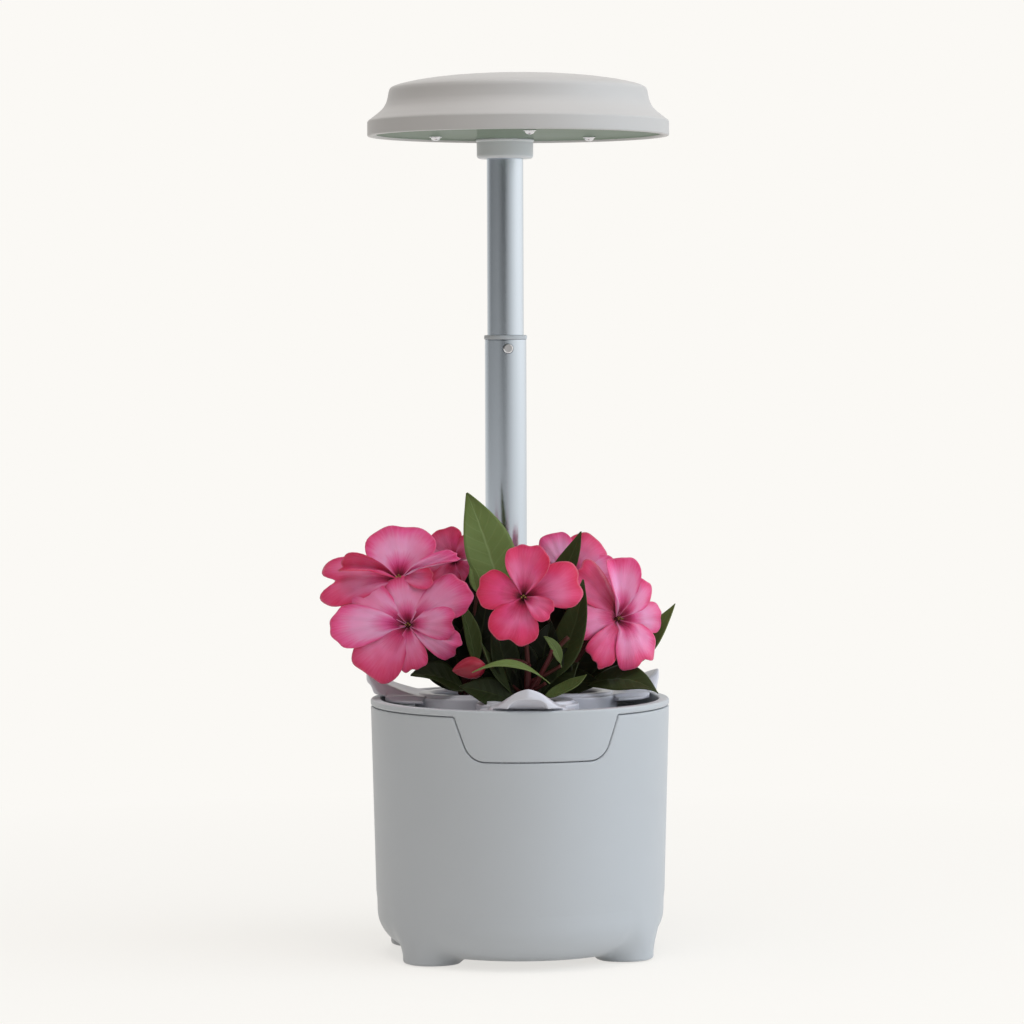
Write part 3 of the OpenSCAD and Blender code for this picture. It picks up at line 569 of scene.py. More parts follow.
def between(a, b, steps):
    """Rings on the wall's outside from ring a to ring b."""
    rows = []
    for k in range(1, steps + 1):
        p = a + (b - a) * k / (steps + 1)
        p[:, :2] *= (wall_r(p[:, 2]) / hypot(p[:, 0], p[:, 1]))[:, None]
        rows.append(p)
    return rows


EDGE_R = 1.05  # rounding along both sides of the seam
EDGE = [(EDGE_R * (1 - cos(g)), EDGE_R * (1 - sin(g))) for g in linspace(0, QUARTER, 6)]


# ---- tank ----

def tank_distance(p):
    """Signed distance, about, to the tank's outside with its feet."""
    r, z = hypot(p[..., 0], p[..., 1]), p[..., 2]
    rc, zc = LOW_R - ROUND, LIFT + ROUND
    body = where(z > zc, r - wall_r(z), where(r > rc, hypot(r - rc, z - zc) - ROUND, LIFT - z))
    foot = np.full(r.shape, 1e3)
    for a in FEET:
        c = at(a, FOOT_AT)
        draft = 0.1 * maximum(z - 4, 0)
        across = hypot(p[..., 0] - c[0], p[..., 1] - c[1]) - (FOOT_R - FOOT_ROUND) - draft
        down = FOOT_LOW + FOOT_ROUND - z
        foot = minimum(foot, hypot(maximum(across, 0), maximum(down, 0))
                          + minimum(maximum(across, down), 0) - FOOT_ROUND)
    both = smooth_min(body, foot, 7.0)
    outer = r - where(z > zc, wall_r(z), LOW_R - 0.25 * clip((zc - z) / zc, 0, 1) ** 2)
    return -smooth_min(-both, -outer, 1.5)


def tank_bottom():
    """Rings from the lower wall to the underside, found along rays from a circle inside the wall."""
    start_r, start_z = 45.0, 26.0
    rows = []
    for phi in np.radians(linspace(7.0, -90, 100)):
        near, far = np.zeros(len(AZIMUTH)), np.full(len(AZIMUTH), 50.0)
        for _ in range(26):
            mid = (near + far) / 2
            p = around(AZIMUTH, start_r + mid * cos(phi), start_z + mid * sin(phi))
            inside = tank_distance(p) < 0
            near, far = where(inside, mid, near), where(inside, far, mid)
        p[:, 2] = maximum(p[:, 2], FOOT_LOW)
        rows.append(p)
    return rows


def tank_rows():
    """Rings from the mouth down the outside, under the bottom and up the inside."""
    rows = [seam_ring(GAP, WALL)] + [seam_ring(GAP + down, inset) for down, inset in EDGE]
    rows += between(rows[-1], circle(wall_r(98), 98), 12)
    rows += [circle(wall_r(z), z) for z in (98, 86, 74, 62, 50, 40, 34)]
    rows += tank_bottom() + [circle(r, LIFT) for r in (40, 26, 12, 0)]
    rows += [circle(r, LIFT + WALL) for r in (0, 30)]
    inner_z, inner_round = LIFT + ROUND, ROUND - WALL
    rows += [circle(LOW_R - ROUND + inner_round * sin(g), inner_z - inner_round * cos(g))
             for g in linspace(0, QUARTER, 14)]
    return rows + [circle(wall_r(z) - WALL, z) for z in (50, 80, 98)]


rows = tank_rows()
faces = grid_faces(len(rows), len(AZIMUTH), True)
make("tank_body", vstack(rows), faces, shell, "tank", "shell", ["tank"])
pad = rounded([(0, 1.5, 0), (PAD_R, 1.5, 0.2), (PAD_R, 0.02, 0.5), (PAD_R - 1.6, 0.02, 0.2),
               (PAD_R - 1.6, 0.35, 0.2), (0, 0.35, 0)], 4)
pads = join(*[lathe(pad, at(a, FOOT_AT), 64) for a in FEET])
make("rubber_pads", *pads, rubber_mat, "tank", "pads", ["foot_pads"])


# ---- lid ----

def lid_rows():
    """Rings from the middle of the deck's underside round skirt, seam and rim to the deck's middle."""
    under, bore, band = DECK - DECK_T, SKIRT_R - SKIRT_T, 134.9
    rows = [circle(r, z) for r, z in (
        (0, under), (bore - 0.6, under), (bore, under - 0.6), (bore, SKIRT_Z + 0.3), (bore + 0.3, SKIRT_Z),
        (SKIRT_R - 0.3, SKIRT_Z), (SKIRT_R, SKIRT_Z + 0.3))]
    rows += [seam_ring(0, radius=SKIRT_R)] + [seam_ring(-up, inset) for up, inset in EDGE]
    rows += between(rows[-1], circle(wall_r(band), band), 8) + [circle(wall_r(band), band)]
    rim = rounded([(wall_r(134.95), 134.95, 0), (80.05, RIM, 1.7), (74.4, RIM, 1.0), (74.4, 130.4, 0.7),
                   (73.2, 130.4, 0.35), (73.2, DECK, 0.6), (60, DECK, 0), (0, DECK, 0)], 7)
    return rows + [circle(r, z) for r, z in rim]


rows = lid_rows()
faces = grid_faces(len(rows), len(AZIMUTH))
lid_shell = make("lid_shell", vstack(rows), faces, shell, "lid", "shell", ["lid"])
cut(lid_shell, *[rod(23.6, 120, 134, place, 96) for place in POD_PLACES], rod(LOWER_R, 110, 150, ON_POLE))
inlet_turn = (Matrix.Rotation(pi - asin(INLET_X / TOP_R), 4, "Z")
              @ Matrix.Translation((0, 0, INLET_Z)) @ Matrix.Rotation(QUARTER, 4, "X"))
cut(lid_shell, turned(rod(4.7, 68, 88, n=64), inlet_turn))
socket = rounded([(13.8, 118.1, 0), (13.8, 140, 0.8), (12.6, 140, 0.5), (11.5, 139.6, 0.1),
                  (11.5, SOCKET_Z, 0), (8.2, SOCKET_Z, 0), (8.2, 117.8, 0.2), (13.8, 117.8, 0.4),
                  (13.8, 118.1, 0)], 5)
socket_foot = rounded([(18.0, DECK + 0.02, 0), (13.9, DECK + 0.02, 3.0), (13.78, 136, 0)], 7)
screw_boss = rounded([(1.2, 126.7, 0), (1.2, 109.4, 0.2), (2.8, 109.4, 0.3), (2.8, 126.7, 0)], 3)
pod_hole = rounded([(24.4, DECK + 0.01, 0), (23.55, DECK + 0.01, 0.5), (23.55, 126.9, 0)], 4)
add_to(lid_shell, lathe(socket, ON_POLE, 64), lathe(socket_foot, ON_POLE, 64),
       *[lathe(screw_boss, (x, 47, 0), 32) for x in (-29.5, 29.5)],
       *[lathe(pod_hole, place, 96, support=0) for place in POD_PLACES])
crisp(lid_shell)

# ---- CAD nodes that keep their own shape ----
dress_cad("driver_cover", inner_mat, 0.3)
for name, _, _ in PODS:
    dress_cad("net_cup_" + name, inner_mat, 0.25)
for node, material, slot, bevel in (
        ("cover_screws", steel_mat, "screws", 0.12), ("button_spring", steel_mat, "screws", 0.1),
        ("dc_inlet", inlet_mat, "inlet", 0.25), ("circuit_board", board_mat, "board", 0.12),
        ("led_board", board_white, "led_board", 0.15), ("led_chips", chip_mat, "led_chips", 0.12),
        ("lens", lens_mat, "lens", 0.3), ("lens_washers", chrome_mat, "chrome", 0.08),
        ("lens_screws", chrome_mat, "chrome", 0.08)):
    dress_cad(node, material, bevel)

# ---- pod caps ----
TAB_TIP, TAB_ROOT, CLEAR = 54.0, 25.2, RIM + 0.7  # reach, start of the rise, height over the rim


def tab_height(x, y):
    """Top and underside of the lift tab over the point x, y, with x outwards from the pod's centre."""
    r = hypot(x, y)
    ramp = 138.0 + 11.8 * (clip(r - TAB_ROOT, 0, None) / (TAB_TIP - TAB_ROOT)) ** 1.25
    t = clip(np.abs(y) / 16.5, 0, 1.2)
    t = clip((t ** 2 + 0.1) ** 0.8 - 0.1 ** 0.8, 0, 1)
    bell = 138.9 + 10.9 * (1 - t) ** 1.35 - 2.3 * smooth_step((np.abs(y) - 19) / 2.2)
    top = smooth_min(ramp, bell, 1.4)
    low = where(r < 26.2, 136.4, where(x < 40.8, 134.3, CLEAR + clip((x - 48.6) / 5.4, 0, 1) * 7.3))
    arch = RIM + 6.4 * clip(1 - (y / 10) ** 2, 0, 1) ** 0.4
    bowl = RIM + (arch - RIM) * smooth_step((x - 42) / 9) ** 0.7
    low = maximum(low, where((x > 39) & (np.abs(y) < 10), bowl, 0))
    return top, minimum(low, top - 0.9)


def lift_tab():
    """The tab as a closed loft of cross-sections along its length."""
    wide_at, far = CAP_R * 0.3, TAB_TIP - 0.03
    xs = np.concatenate([linspace(19.6, 40.75, 28), [40.85],
                         far - (far - 41.3) * (1 - np.sin(linspace(0, QUARTER, 30)))])
    g = angles(96)
    loops = []
    for x in xs:
        along = ((x - wide_at) / (TAB_TIP - wide_at)) ** 1.8
        half = max(0.05, (CAP_R - 1.8) * cos(QUARTER * along) ** 0.75)
        y = half * np.sign(np.cos(g)) * np.abs(np.cos(g)) ** 0.7
        top, low = tab_height(x, y)
        share = 0.5 + 0.5 * np.sign(np.sin(g)) * np.abs(np.sin(g)) ** 0.4
        loops.append(np.column_stack([np.full(len(g), x), y, low + (top - low) * share]))
    n, last = len(g), len(loops) - 1
    pts = vstack(loops + [loops[0].mean(0)[None], loops[-1].mean(0)[None]])
    faces = grid_faces(len(loops), n).tolist()
    faces += [[(k + 1) % n, k, (last + 1) * n] for k in range(n)]
    faces += [[last * n + k, last * n + (k + 1) % n, (last + 1) * n + 1] for k in range(n)]
    return pts, faces


cap_ring = rounded([(22, 135.6, 0), (HOLE_R, 135.6, 0.3), (HOLE_R, 137.9, 0.5), (19.4, CAP_TOP, 1.2),
                    (24.8, CAP_TOP, 0.8), (24.8, 137.6, 0.4), (CAP_R, 137.6, 0.8), (CAP_R, 129.3, 0.3),
                    (25.2, 129.3, 0.2), (25.2, 135.6, 0.5), (22, 135.6, 0)], 6)
cap_form = melted("cap_form", 0.42, 5, lathe(cap_ring, n=160), lift_tab())
for name, azimuth, spin in PODS:
    place = (Matrix.Translation(Vector(at(azimuth, POD_AT)))
             @ Matrix.Rotation(radians(azimuth + spin - 90), 4, "Z"))
    make("cap_" + name + "_shell", *turned(cap_form, place), cap_mat, "pod_" + name, "cap", ["cap_" + name],
         clean=False)

# ---- pole ----
TO_BUTTON = Matrix.Translation((0, POLE_Y, BUTTON_Z)) @ Matrix.Rotation(QUARTER, 4, "X")


def pole_tube(name, outer, bore, low, high, hole, body, node):
    """A round tube with one hole towards the front at the button's height."""
    by_button = [(outer, z, 0) for z in np.arange(BUTTON_Z - 4.8, BUTTON_Z + 4.6, 0.6)]
    form = rounded([(bore, (low + high) / 2, 0), (bore, low, 0.2), (outer, low, 0.3), *by_button,
                    (outer, high, 0.3), (bore, high, 0.2), (bore, (low + high) / 2, 0)], 4)
    ob = make(name, *lathe(form, ON_POLE, 144), tube_mat, body, "tube", [node])
    cut(ob, turned(rod(hole, 5, 15), TO_BUTTON))
    ob.data.set_sharp_from_angle(angle=radians(40))


def coiled_lead():
    """The wire in the pole, as a coil at one length; the real coil shortens when the pole slides down."""
    turns, coil_r, wire_r, low, high = 56, 2.6, 1.3, 118.4, 454.4
    room = 1.4  # kept free at both ends
    t = linspace(0, 1, turns * 14 + 1)
    line = np.column_stack([coil_r * np.cos(FULL * turns * t), POLE_Y + coil_r * np.sin(FULL * turns * t),
                            low + room + (high - low - 2 * room) * t])
    points, _ = sweep(line, wire_r, (0, 0, 1.0), 8, -1)
    lead = make("coiled_lead", points, grid_faces(len(line), 8), lead_mat, "mast", "lead", ["lamp_lead"])
    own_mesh(lead)


pole_tube("lower_tube_skin", LOWER_R, 10.15, SOCKET_Z, LOWER_TOP, 3.0, "lid", "lower_tube")
pole_tube("upper_tube_skin", UPPER_R, 9.0, 283.2, 453.4, 2.7, "mast", "upper_tube")
bush = rounded([(10.08, LOWER_TOP, 0.1), (11.8, LOWER_TOP, 0.25), (11.8, 331.6, 0.8), (10.08, 331.6, 0.3),
                (10.08, LOWER_TOP, 0.1)], 5)
make("pole_bush", *lathe(bush, ON_POLE, 96), shell, "lid", "shell", ["tube_bush"])
button = lathe(rounded([(0, 10.9, 0), (2.7, 10.9, 0.1), (2.7, 12.2, 0.55), (0, 12.2, 0)], 5), n=48)
make("button_head", *turned(button, TO_BUTTON), chrome_mat, "button", "chrome", ["lock_button"])
coiled_lead()

# ---- lamp ----
collar = rounded([(10.1, 428.2, 0.3), (15.5, 428.0, 1.8), (15.5, 437.2, 0.4), (16.0, 437.8, 0.3),
                  (16.0, 438.58, 0.2), (12.7, 438.58, 0), (12.7, 452, 0.4), (10.1, 452, 0.3),
                  (10.1, 428.2, 0)], 5)
make("lamp_collar", *lathe(collar, ON_POLE, 96), collar_painted_light_mat, "mast", "shell", ["neck_collar"])

# The shade's outside above its upright band: flare, waist, shoulder and dome.
FLARE = np.array([
    (LAMP_R, 445.2), (79.7, 446.1), (77.9, 447.4), (76, 448.9), (73.9, 450.6), (72.3, 452.2), (71.2, 453.8),
    (70.4, 455.4), (69.9, 457.0), (69.5, 458.6), (69.2, 460.2), (68.8, 461.9), (67.8, 463.4), (64.6, 464.8),
    (59.5, 466.0), (53.3, 467.2), (42.3, 468.7), (30, 469.8), (20.3, 470.4), (10, 470.75), (0, 470.85)])


def lamp_shade():
    """The shade's shell with its three screw posts and the boss that holds the pole."""
    lip = (MOUTH_R, LAMP_Z + 1.0, 0)
    band = rounded([lip, (77.6, LAMP_Z, 0.5), (LAMP_R, LAMP_Z, 0.6), (LAMP_R, 445.0, 0)], 5)
    inside = rounded([(0, 468.3, 0), (42, 466.2, 6), (60, 463.3, 4), (66.6, 460, 4), (70, 452, 5),
                      (73.2, 447.5, 2), (73.2, BOARD_Z, 0), (MOUTH_R, BOARD_Z, 0), lip], 5)
    profile = vstack([inside[:-1], band, spline(FLARE, 4)[1:]])
    shade = make("lamp_shade", *lathe(profile, n=192), lamp_mat, "mast", "shell", ["lamp_housing"])
    low = BOARD_Z + 0.05
    post = rounded([(3.6, low, 0.3), (3.6, 466, 0), (0, 466, 0), (0, low, 0), (3.6, low, 0)], 3)
    hub = rounded([(12.9, low, 0.2), (14.9, low, 0.3), (14.9, 461, 0), (12.9, 461, 0), (12.9, low, 0)], 3)
    boss, faces = lathe(hub, ON_POLE, 64, support=2)
    room = np.interp(boss[:, 2], FLARE[:, 1], FLARE[:, 0]) - 1.3  # keeps the boss inside the shell
    boss[:, :2] *= minimum(1, room / hypot(boss[:, 0], boss[:, 1]))[:, None]
    add_to(shade, *[lathe(post, at(a, 48.2), 32) for a in (0, 120, -120)], (boss, faces))
    crisp(shade)


lamp_shade()

# ---- sponges ----
sponge = rounded([(0, 78.6, 0), (14.0, 78.6, 1.0), (17.0, SPONGE_TOP - 0.3, 1.2), (12, SPONGE_TOP - 0.6, 2),
                  (6, SPONGE_TOP - 0.4, 1), (0, SPONGE_TOP - 0.5, 0)], 6)
for name, azimuth, _ in PODS:
    pts, faces = lathe(sponge, at(azimuth, POD_AT), 96, support=1.2)
    pts[:, 2] += where(pts[:, 2] > SPONGE_TOP - 3, rng.uniform(-0.45, 0.25, len(pts)), 0)
    make("sponge_" + name + "_foam", pts, faces, sponge_mat, "pod_" + name, "sponge", ["sponge_" + name])


# ---- plants ----
# A petal or a leaf is a curved sheet with UV across and along it, and a tone stored on its points.

def sheet_object(name, sheets, mat, body, slot, stands_for, thick):
    """Sheets of (grid of points, uv, tone) as one object with a thickness."""
    points, faces = join(*[(grid, grid_faces(*grid.shape[:2], wrap_cols=False)) for grid, _, _ in sheets])
    uv = vstack([uv.reshape(-1, 2) for _, uv, _ in sheets])
    ob = make(name, points, faces, mat, body, slot, stands_for, uv=uv, clean=False)
    tones = [np.full(grid[..., 0].size, tone, np.float32) for grid, _, tone in sheets]
    ob.data.attributes.new("tone", "FLOAT", "POINT").data.foreach_set("value", np.concatenate(tones))
    solid = ob.modifiers.new("thickness", "SOLIDIFY")
    solid.thickness, solid.offset = thick * MM, 0


def petal(depth, angle, length, half, tone, layer, cup=0.0, curl=0.12, side=0.1, notch=0.05, wave=0.02):
    """One petal in the flower's own plane: grid of u, v, w, and uv, and tone. Angles are in degrees. depth is
    the flower's throat, layer lifts the petal over others, and the rest shapes the sheet."""
    s, t = np.meshgrid(linspace(0.02, 1, 30), linspace(-1, 1, 33), indexing="ij")
    phase = rng.uniform(0, 6.28, 4)
    edge = (1 - np.abs(t) ** 3.0) ** 0.46 * (1 - notch * np.exp(-(t / 0.17) ** 2))
    edge = edge * (1 + 0.018 * np.sin(7 * t + phase[0]) + 0.012 * np.sin(15 * t + phase[1]))
    r = length * s * edge
    a = np.radians(angle + half * t * (0.72 + 0.28 * s) + 4 * np.sin(2.2 * s + phase[2]) * s)
    w = -depth * (1 - smooth_step(r / (0.26 * length)))
    reach = r / length
    w = w + length * (cup * reach ** 2 - curl * reach ** 5 - side * t ** 2 * reach)
    w = w + length * wave * np.sin(5.5 * t + phase[3]) * reach ** 3
    w = w + length * 0.01 * np.cos(13 * t + phase[1]) * reach * (0.4 + reach)
    w = w + layer * smooth_step(reach * 3)
    return np.stack([r * np.cos(a), r * np.sin(a), w], -1), np.stack([t * 0.5 + 0.5, s], -1), tone


def face_axes(azimuth, lift):
    """Right, up and outward axes of a flower that faces an azimuth, raised by lift."""
    a, e = radians(azimuth), radians(lift)
    out = np.array([sin(a) * cos(e), -cos(a) * cos(e), sin(e)])
    right = np.array([cos(a), sin(a), 0.0])
    return right, np.cross(out, right), out


def curve_through(p, bend, q, n):
    """A quadratic curve of n points from p to q, pulled by bend in its middle."""
    p, bend, q = (np.array(k, float) for k in (p, bend, q))
    t = linspace(0, 1, n)[:, None]
    return (1 - t) ** 2 * p + 2 * t * (1 - t) * ((p + q) / 2 + bend) + t ** 2 * q


def leaf(p, q, width, out, tone, bend=(0, 0, 0), fold=0.25):
    """A pointed blade's (grid, uv, tone) from p to q; out is where its upper side faces at its middle."""
    rows, stalk, wave = 34, 0.1, 0.04
    line = curve_through(p, bend, q, rows)
    ahead, across = frame_along(line, unit(np.array(out, float)))
    up = np.cross(across, ahead)
    s, t = np.meshgrid(linspace(0, 1, rows), linspace(-1, 1, 15), indexing="ij")
    wide = np.sin(np.pi * clip((s - stalk) / (1 - stalk), 0, 1) ** 0.82) ** 0.9 * (1 - 0.25 * s ** 4)
    wide = width / 2 * maximum(wide, 0.05 * (1 - s) + 0.002)
    phase = rng.uniform(0, 6.28, 2)
    rise = np.abs(t) ** 1.3 * wide * fold
    rise = rise + width * wave * np.sin(9.5 * s + phase[0] + 1.4 * np.sign(t)) * t ** 2
    rise = rise + width * 0.012 * np.sin(44 * s - 6 * np.abs(t)) * (1 - np.abs(t)) * np.sin(np.pi * s)
    flat = t * wide * sqrt(max(0.1, 1 - fold ** 2))
    grid = line[:, None] + flat[..., None] * across[:, None] + rise[..., None] * up[:, None]
    return grid, np.stack([t * 0.5 + 0.5, s], -1), tone


def stalk(p, q, r0, r1, bend=(0, 0, 0)):
    """(points, faces) of a tapered stalk along a bent line."""
    n = 18
    r = linspace(r0, r1, n) * (1 + 0.05 * np.sin(linspace(0, 14, n)))
    return sweep(curve_through(p, bend, q, n), r[:, None, None], (0.31, 0.95, 0.02), 10)


def drop(place, direction, long, wide, ridges=0, ridge=0.0, twist=0.0, n=24, m=24):
    """(points, faces) of a long drop, with ridges along it."""
    d = unit(np.array(direction, float))
    s, g = linspace(0.001, 0.999, n), angles(m)
    line = np.array(place, float) + (s - 0.5)[:, None] * long * d
    r = wide / 2 * np.sin(np.pi * s ** 0.8) ** 0.8
    r = r[:, None] * (1 + ridge * np.cos(ridges * g[None] + twist * s[:, None]))
    return sweep(line, r[..., None], (0.1, 0.2, 0.97), m)


def row(*columns, **extras):
    """One petal in the lists below."""
    return columns, extras


# Places are measured from the middle of a sponge's top. A flower has its place, the azimuth that it faces,
# its lift, its throat's depth, and its petals: angle, length, half width in degrees, tone, layer, extras.
FLOWERS = {
    "front": [((-2.5, -4, 58), -7, 8, 4.5, [
        row(167, 25, 44, 0.9, 0.6, cup=0.1, curl=0.1),
        row(15, 32.5, 40, 0.8, 0.2, curl=0.18, notch=0.08),
        row(84, 28, 44, 0.75, 1, cup=0.16, side=-0.16),
        row(-108, 27, 54, 1, 1.6, cup=0.05, curl=0.05, notch=0.12),
        row(-34, 18, 38, 0.75, 2.6, cup=0.22, side=-0.1)])],
    "right": [((27, -23, 44), 26, 10, 6, [
        row(168, 31, 46, 0.65, -1.2, cup=-0.05, wave=0.05),
        row(128, 38, 30, 0.9, -0.4, cup=0.02, side=0.12, wave=0.05),
        row(100, 33, 34, 0.1, 2.4, cup=0.2, side=-0.35, wave=0.06),
        row(48, 26, 40, 0.25, 1.2, cup=0.1, side=0.15, wave=0.06),
        row(-4, 29, 30, 0.15, 0.8, cup=0.02, curl=0.22, notch=0.1, wave=0.05),
        row(-68, 29, 52, 0.4, 1.8, cup=0.05, curl=0.14, wave=0.06, notch=0.12),
        row(-134, 31, 30, 0.95, 0.2, cup=0.04, wave=0.05)]),
      ((0, 2, 67), -4, 18, 4, [
        row(165, 19, 44, 0.3, 0),
        row(112, 24, 40, -0.2, 0.8, cup=0.08),
        row(45, 27, 44, 0.55, 0.5, curl=0.2),
        row(-5, 30, 46, 0.3, 0.3),
        row(-80, 20, 56, 0.55, 0)])],
    "left": [((-33, -18, 42), -12, 14, 6, [
        row(94, 27, 50, 0.1, 0.2, cup=0.06),
        row(35, 38, 32, 0.25, 0.8, cup=0.04, notch=0),
        row(-2, 26, 38, 0.2, 1.6, cup=0.08),
        row(-27, 31, 28, 0.1, 0.4, cup=0, wave=0.05),
        row(-86, 26, 34, 0.45, 0, curl=0.06),
        row(-128, 36, 42, 0.6, 1, cup=0.02, curl=0.1),
        row(158, 38, 38, 0.25, 1.4, cup=0.07, curl=0.16),
        row(-177, 41, 29, -0.3, 3.2, cup=0.07, curl=0.1, notch=0)]),
      ((-37, -11, 67), -14, 30, 4, [
        row(87, 31, 70, 0.05, 0, cup=0.1, side=-0.05, notch=0.03),
        row(182, 44, 34, 0.55, 0.6, notch=0.2, curl=0.15),
        row(170, 32, 17, 0.95, 4, cup=0.1, side=-0.5),
        row(-4, 19, 36, 0.55, 0.5),
        row(17, 34, 10, -0.4, 3.4, cup=0.04, side=-0.3, curl=0.1, notch=0)]),
      ((-4, 17, 74), -14, 10, 4, [
        row(112, 19, 50, 0.8, 0.2),
        row(40, 18, 42, 0.6, 0.6),
        row(-40, 19, 44, 0.7, 0.3),
        row(-110, 20, 46, 0.95, 0.5),
        row(178, 19, 46, 0.65, 0)])],
}
# A leaf has its start, its tip, its width, the direction that it faces, its tone, and its bend and fold. A
# tone near 1 is painted shade: the leaf is drawn almost black, as deep inside the plant.
LEAVES = {
    "front": [
        ((-6, -2, 4), (-25, -1, 35), 13, (0.9, -0.6, 0.5), 0.8, (-6, 0, -3), 0.5),
        ((11, -8, 12), (-31, -13, 19), 9, (0, -0.35, 1), -0.25, (2, 0, 13), 0.3),
        ((6, -5, 5), (30, -11, 17), 12, (-0.2, -0.55, 1), 0.4, (2, 0, -5), 0.35),
        ((-7, 3, 8), (-16, 8, 48), 19, (0.6, -1, 0.3), 0.95, (-3, 0, 0)),
        ((7, 5, 8), (31, 8, 66), 19, (-0.6, -1, 0.3), 0.78, (9, 0, -6)),
        ((18, -2, 20), (8, -6, 37), 7, (0.5, -1, 0.4), 0.35, (2, 0, 4)),
        ((0, 6, 2), (-9, 10, 40), 24, (0, -1, 0.4), 1),
        ((4, 6, 2), (14, 10, 44), 24, (0, -1, 0.4), 1),
        ((-4, 2, 2), (-26, 4, 20), 20, (0, -1, 0.8), 1, (0, 0, 5)),
        ((5, 2, 2), (28, 4, 22), 20, (0, -1, 0.8), 0.95, (0, 0, 5)),
        ((-5, -3, 1), (-37, -7, 11), 17, (0, -1, 0.5), 0.9, (0, 0, 3)),
        ((3, 4, 2), (22, 6, 30), 22, (0, -1, 0.5), 1, (4, 0, 0))],
    "right": [
        ((5, -12, 5), (44, -37, 4.5), 21, (-0.1, -0.75, 1), 0.8, (3, 2, 13), 0.12),
        ((16, 2, 12), (59, -3, 50), 17, (-0.5, -1, 0.4), 0.12, (5, 0, -9)),
        ((-15, -3, 50), (6.5, -10, 90), 13, (-0.5, -1, 0.2), 0.65, (5, 0, 0)),
        ((2, 12, 10), (22, 38, 40), 22, (0.4, 1, 0.8), 0.4, (0, 6, 8)),
        ((-4, 8, 10), (-4, 30, 62), 20, (0, 1, 0.4), 0.6, (0, 5, 0)),
        ((4, 10, 10), (40, 20, 30), 20, (0.3, 0.4, 1), 0.5, (0, 0, 8)),
        ((0, 0, 4), (20, -4, 46), 24, (-0.3, -1, 0.5), 0.95),
        ((-2, 2, 4), (-12, 4, 60), 24, (0, -1, 0.3), 1),
        ((8, 0, 4), (40, -4, 28), 20, (-0.2, -1, 0.6), 0.9, (0, 0, 3)),
        ((-14, -4, 3), (16, -16, 8), 18, (-0.1, -1, 0.5), 0.95, (0, 0, 5)),
        ((2, 6, 10), (-4, 8, 66), 26, (0, -1, 0.3), 1)],
    "left": [
        ((2, -8, 3), (-32, -25, 15), 22, (0.1, -0.75, 1), 0.88, (0, 0, 7)),
        ((20, -6, 52), (1, -2, 111), 29, (0.25, -1, 0.1), -0.05, (3, 0, 0), 0.12),
        ((-8, -4, 9), (-44, 2, 22), 20, (-0.1, -0.4, 1), 0.7, (0, 0, 8)),
        ((-6, 8, 10), (-32, 28, 42), 22, (-0.5, 0.9, 0.8), 0.4, (0, 6, 8)),
        ((4, 8, 10), (2, 30, 60), 20, (0, 1, 0.4), 0.6, (0, 5, 0)),
        ((4, -10, 12), (-7, -10, 58), 12, (0.7, -1, 0.3), 0.6, (6, 0, 0), 0.4),
        ((6, -8, 56), (2, -9, 74), 6, (0.1, -1, 0.3), -0.3),
        ((3, -4, 4), (12, -6, 56), 26, (0, -1, 0.3), 1),
        ((0, -2, 4), (-12, -2, 44), 24, (0, -1, 0.4), 0.95),
        ((-2, -4, 2), (-30, -12, 26), 20, (0.1, -1, 0.8), 0.95, (0, 0, 4)),
        ((4, 2, 6), (10, 4, 80), 28, (0, -1, 0.3), 1)],
}
STEM_TOP = {"front": (0, -2, 22), "right": (2, -2, 24), "left": (-2, -2, 24)}
# Further stalks: start, end, radius at the start and at the end, bend.
STALKS = {
    "front": [((0, -2, 22), (-20, -3.6, 21.2), 1.3, 1.1, (0, 0, 5)),
              ((2, -1, 4), (22, 0, 36), 1.5, 1.2, (-3, 0, 5)),
              ((1, -3, 8), (12, -8, 30), 1.2, 0.9, (3, 0, 2))],
    "right": [((-4, -8, 6), (14, -16, 36), 1.3, 1.1, (2, 0, 6))],
    "left": [],
}
BUD = drop((-31.5, -4, 20.4), (-1, 0.1, -0.12), 18, 11.5, 5, 0.07, 3.5, 36, 40)


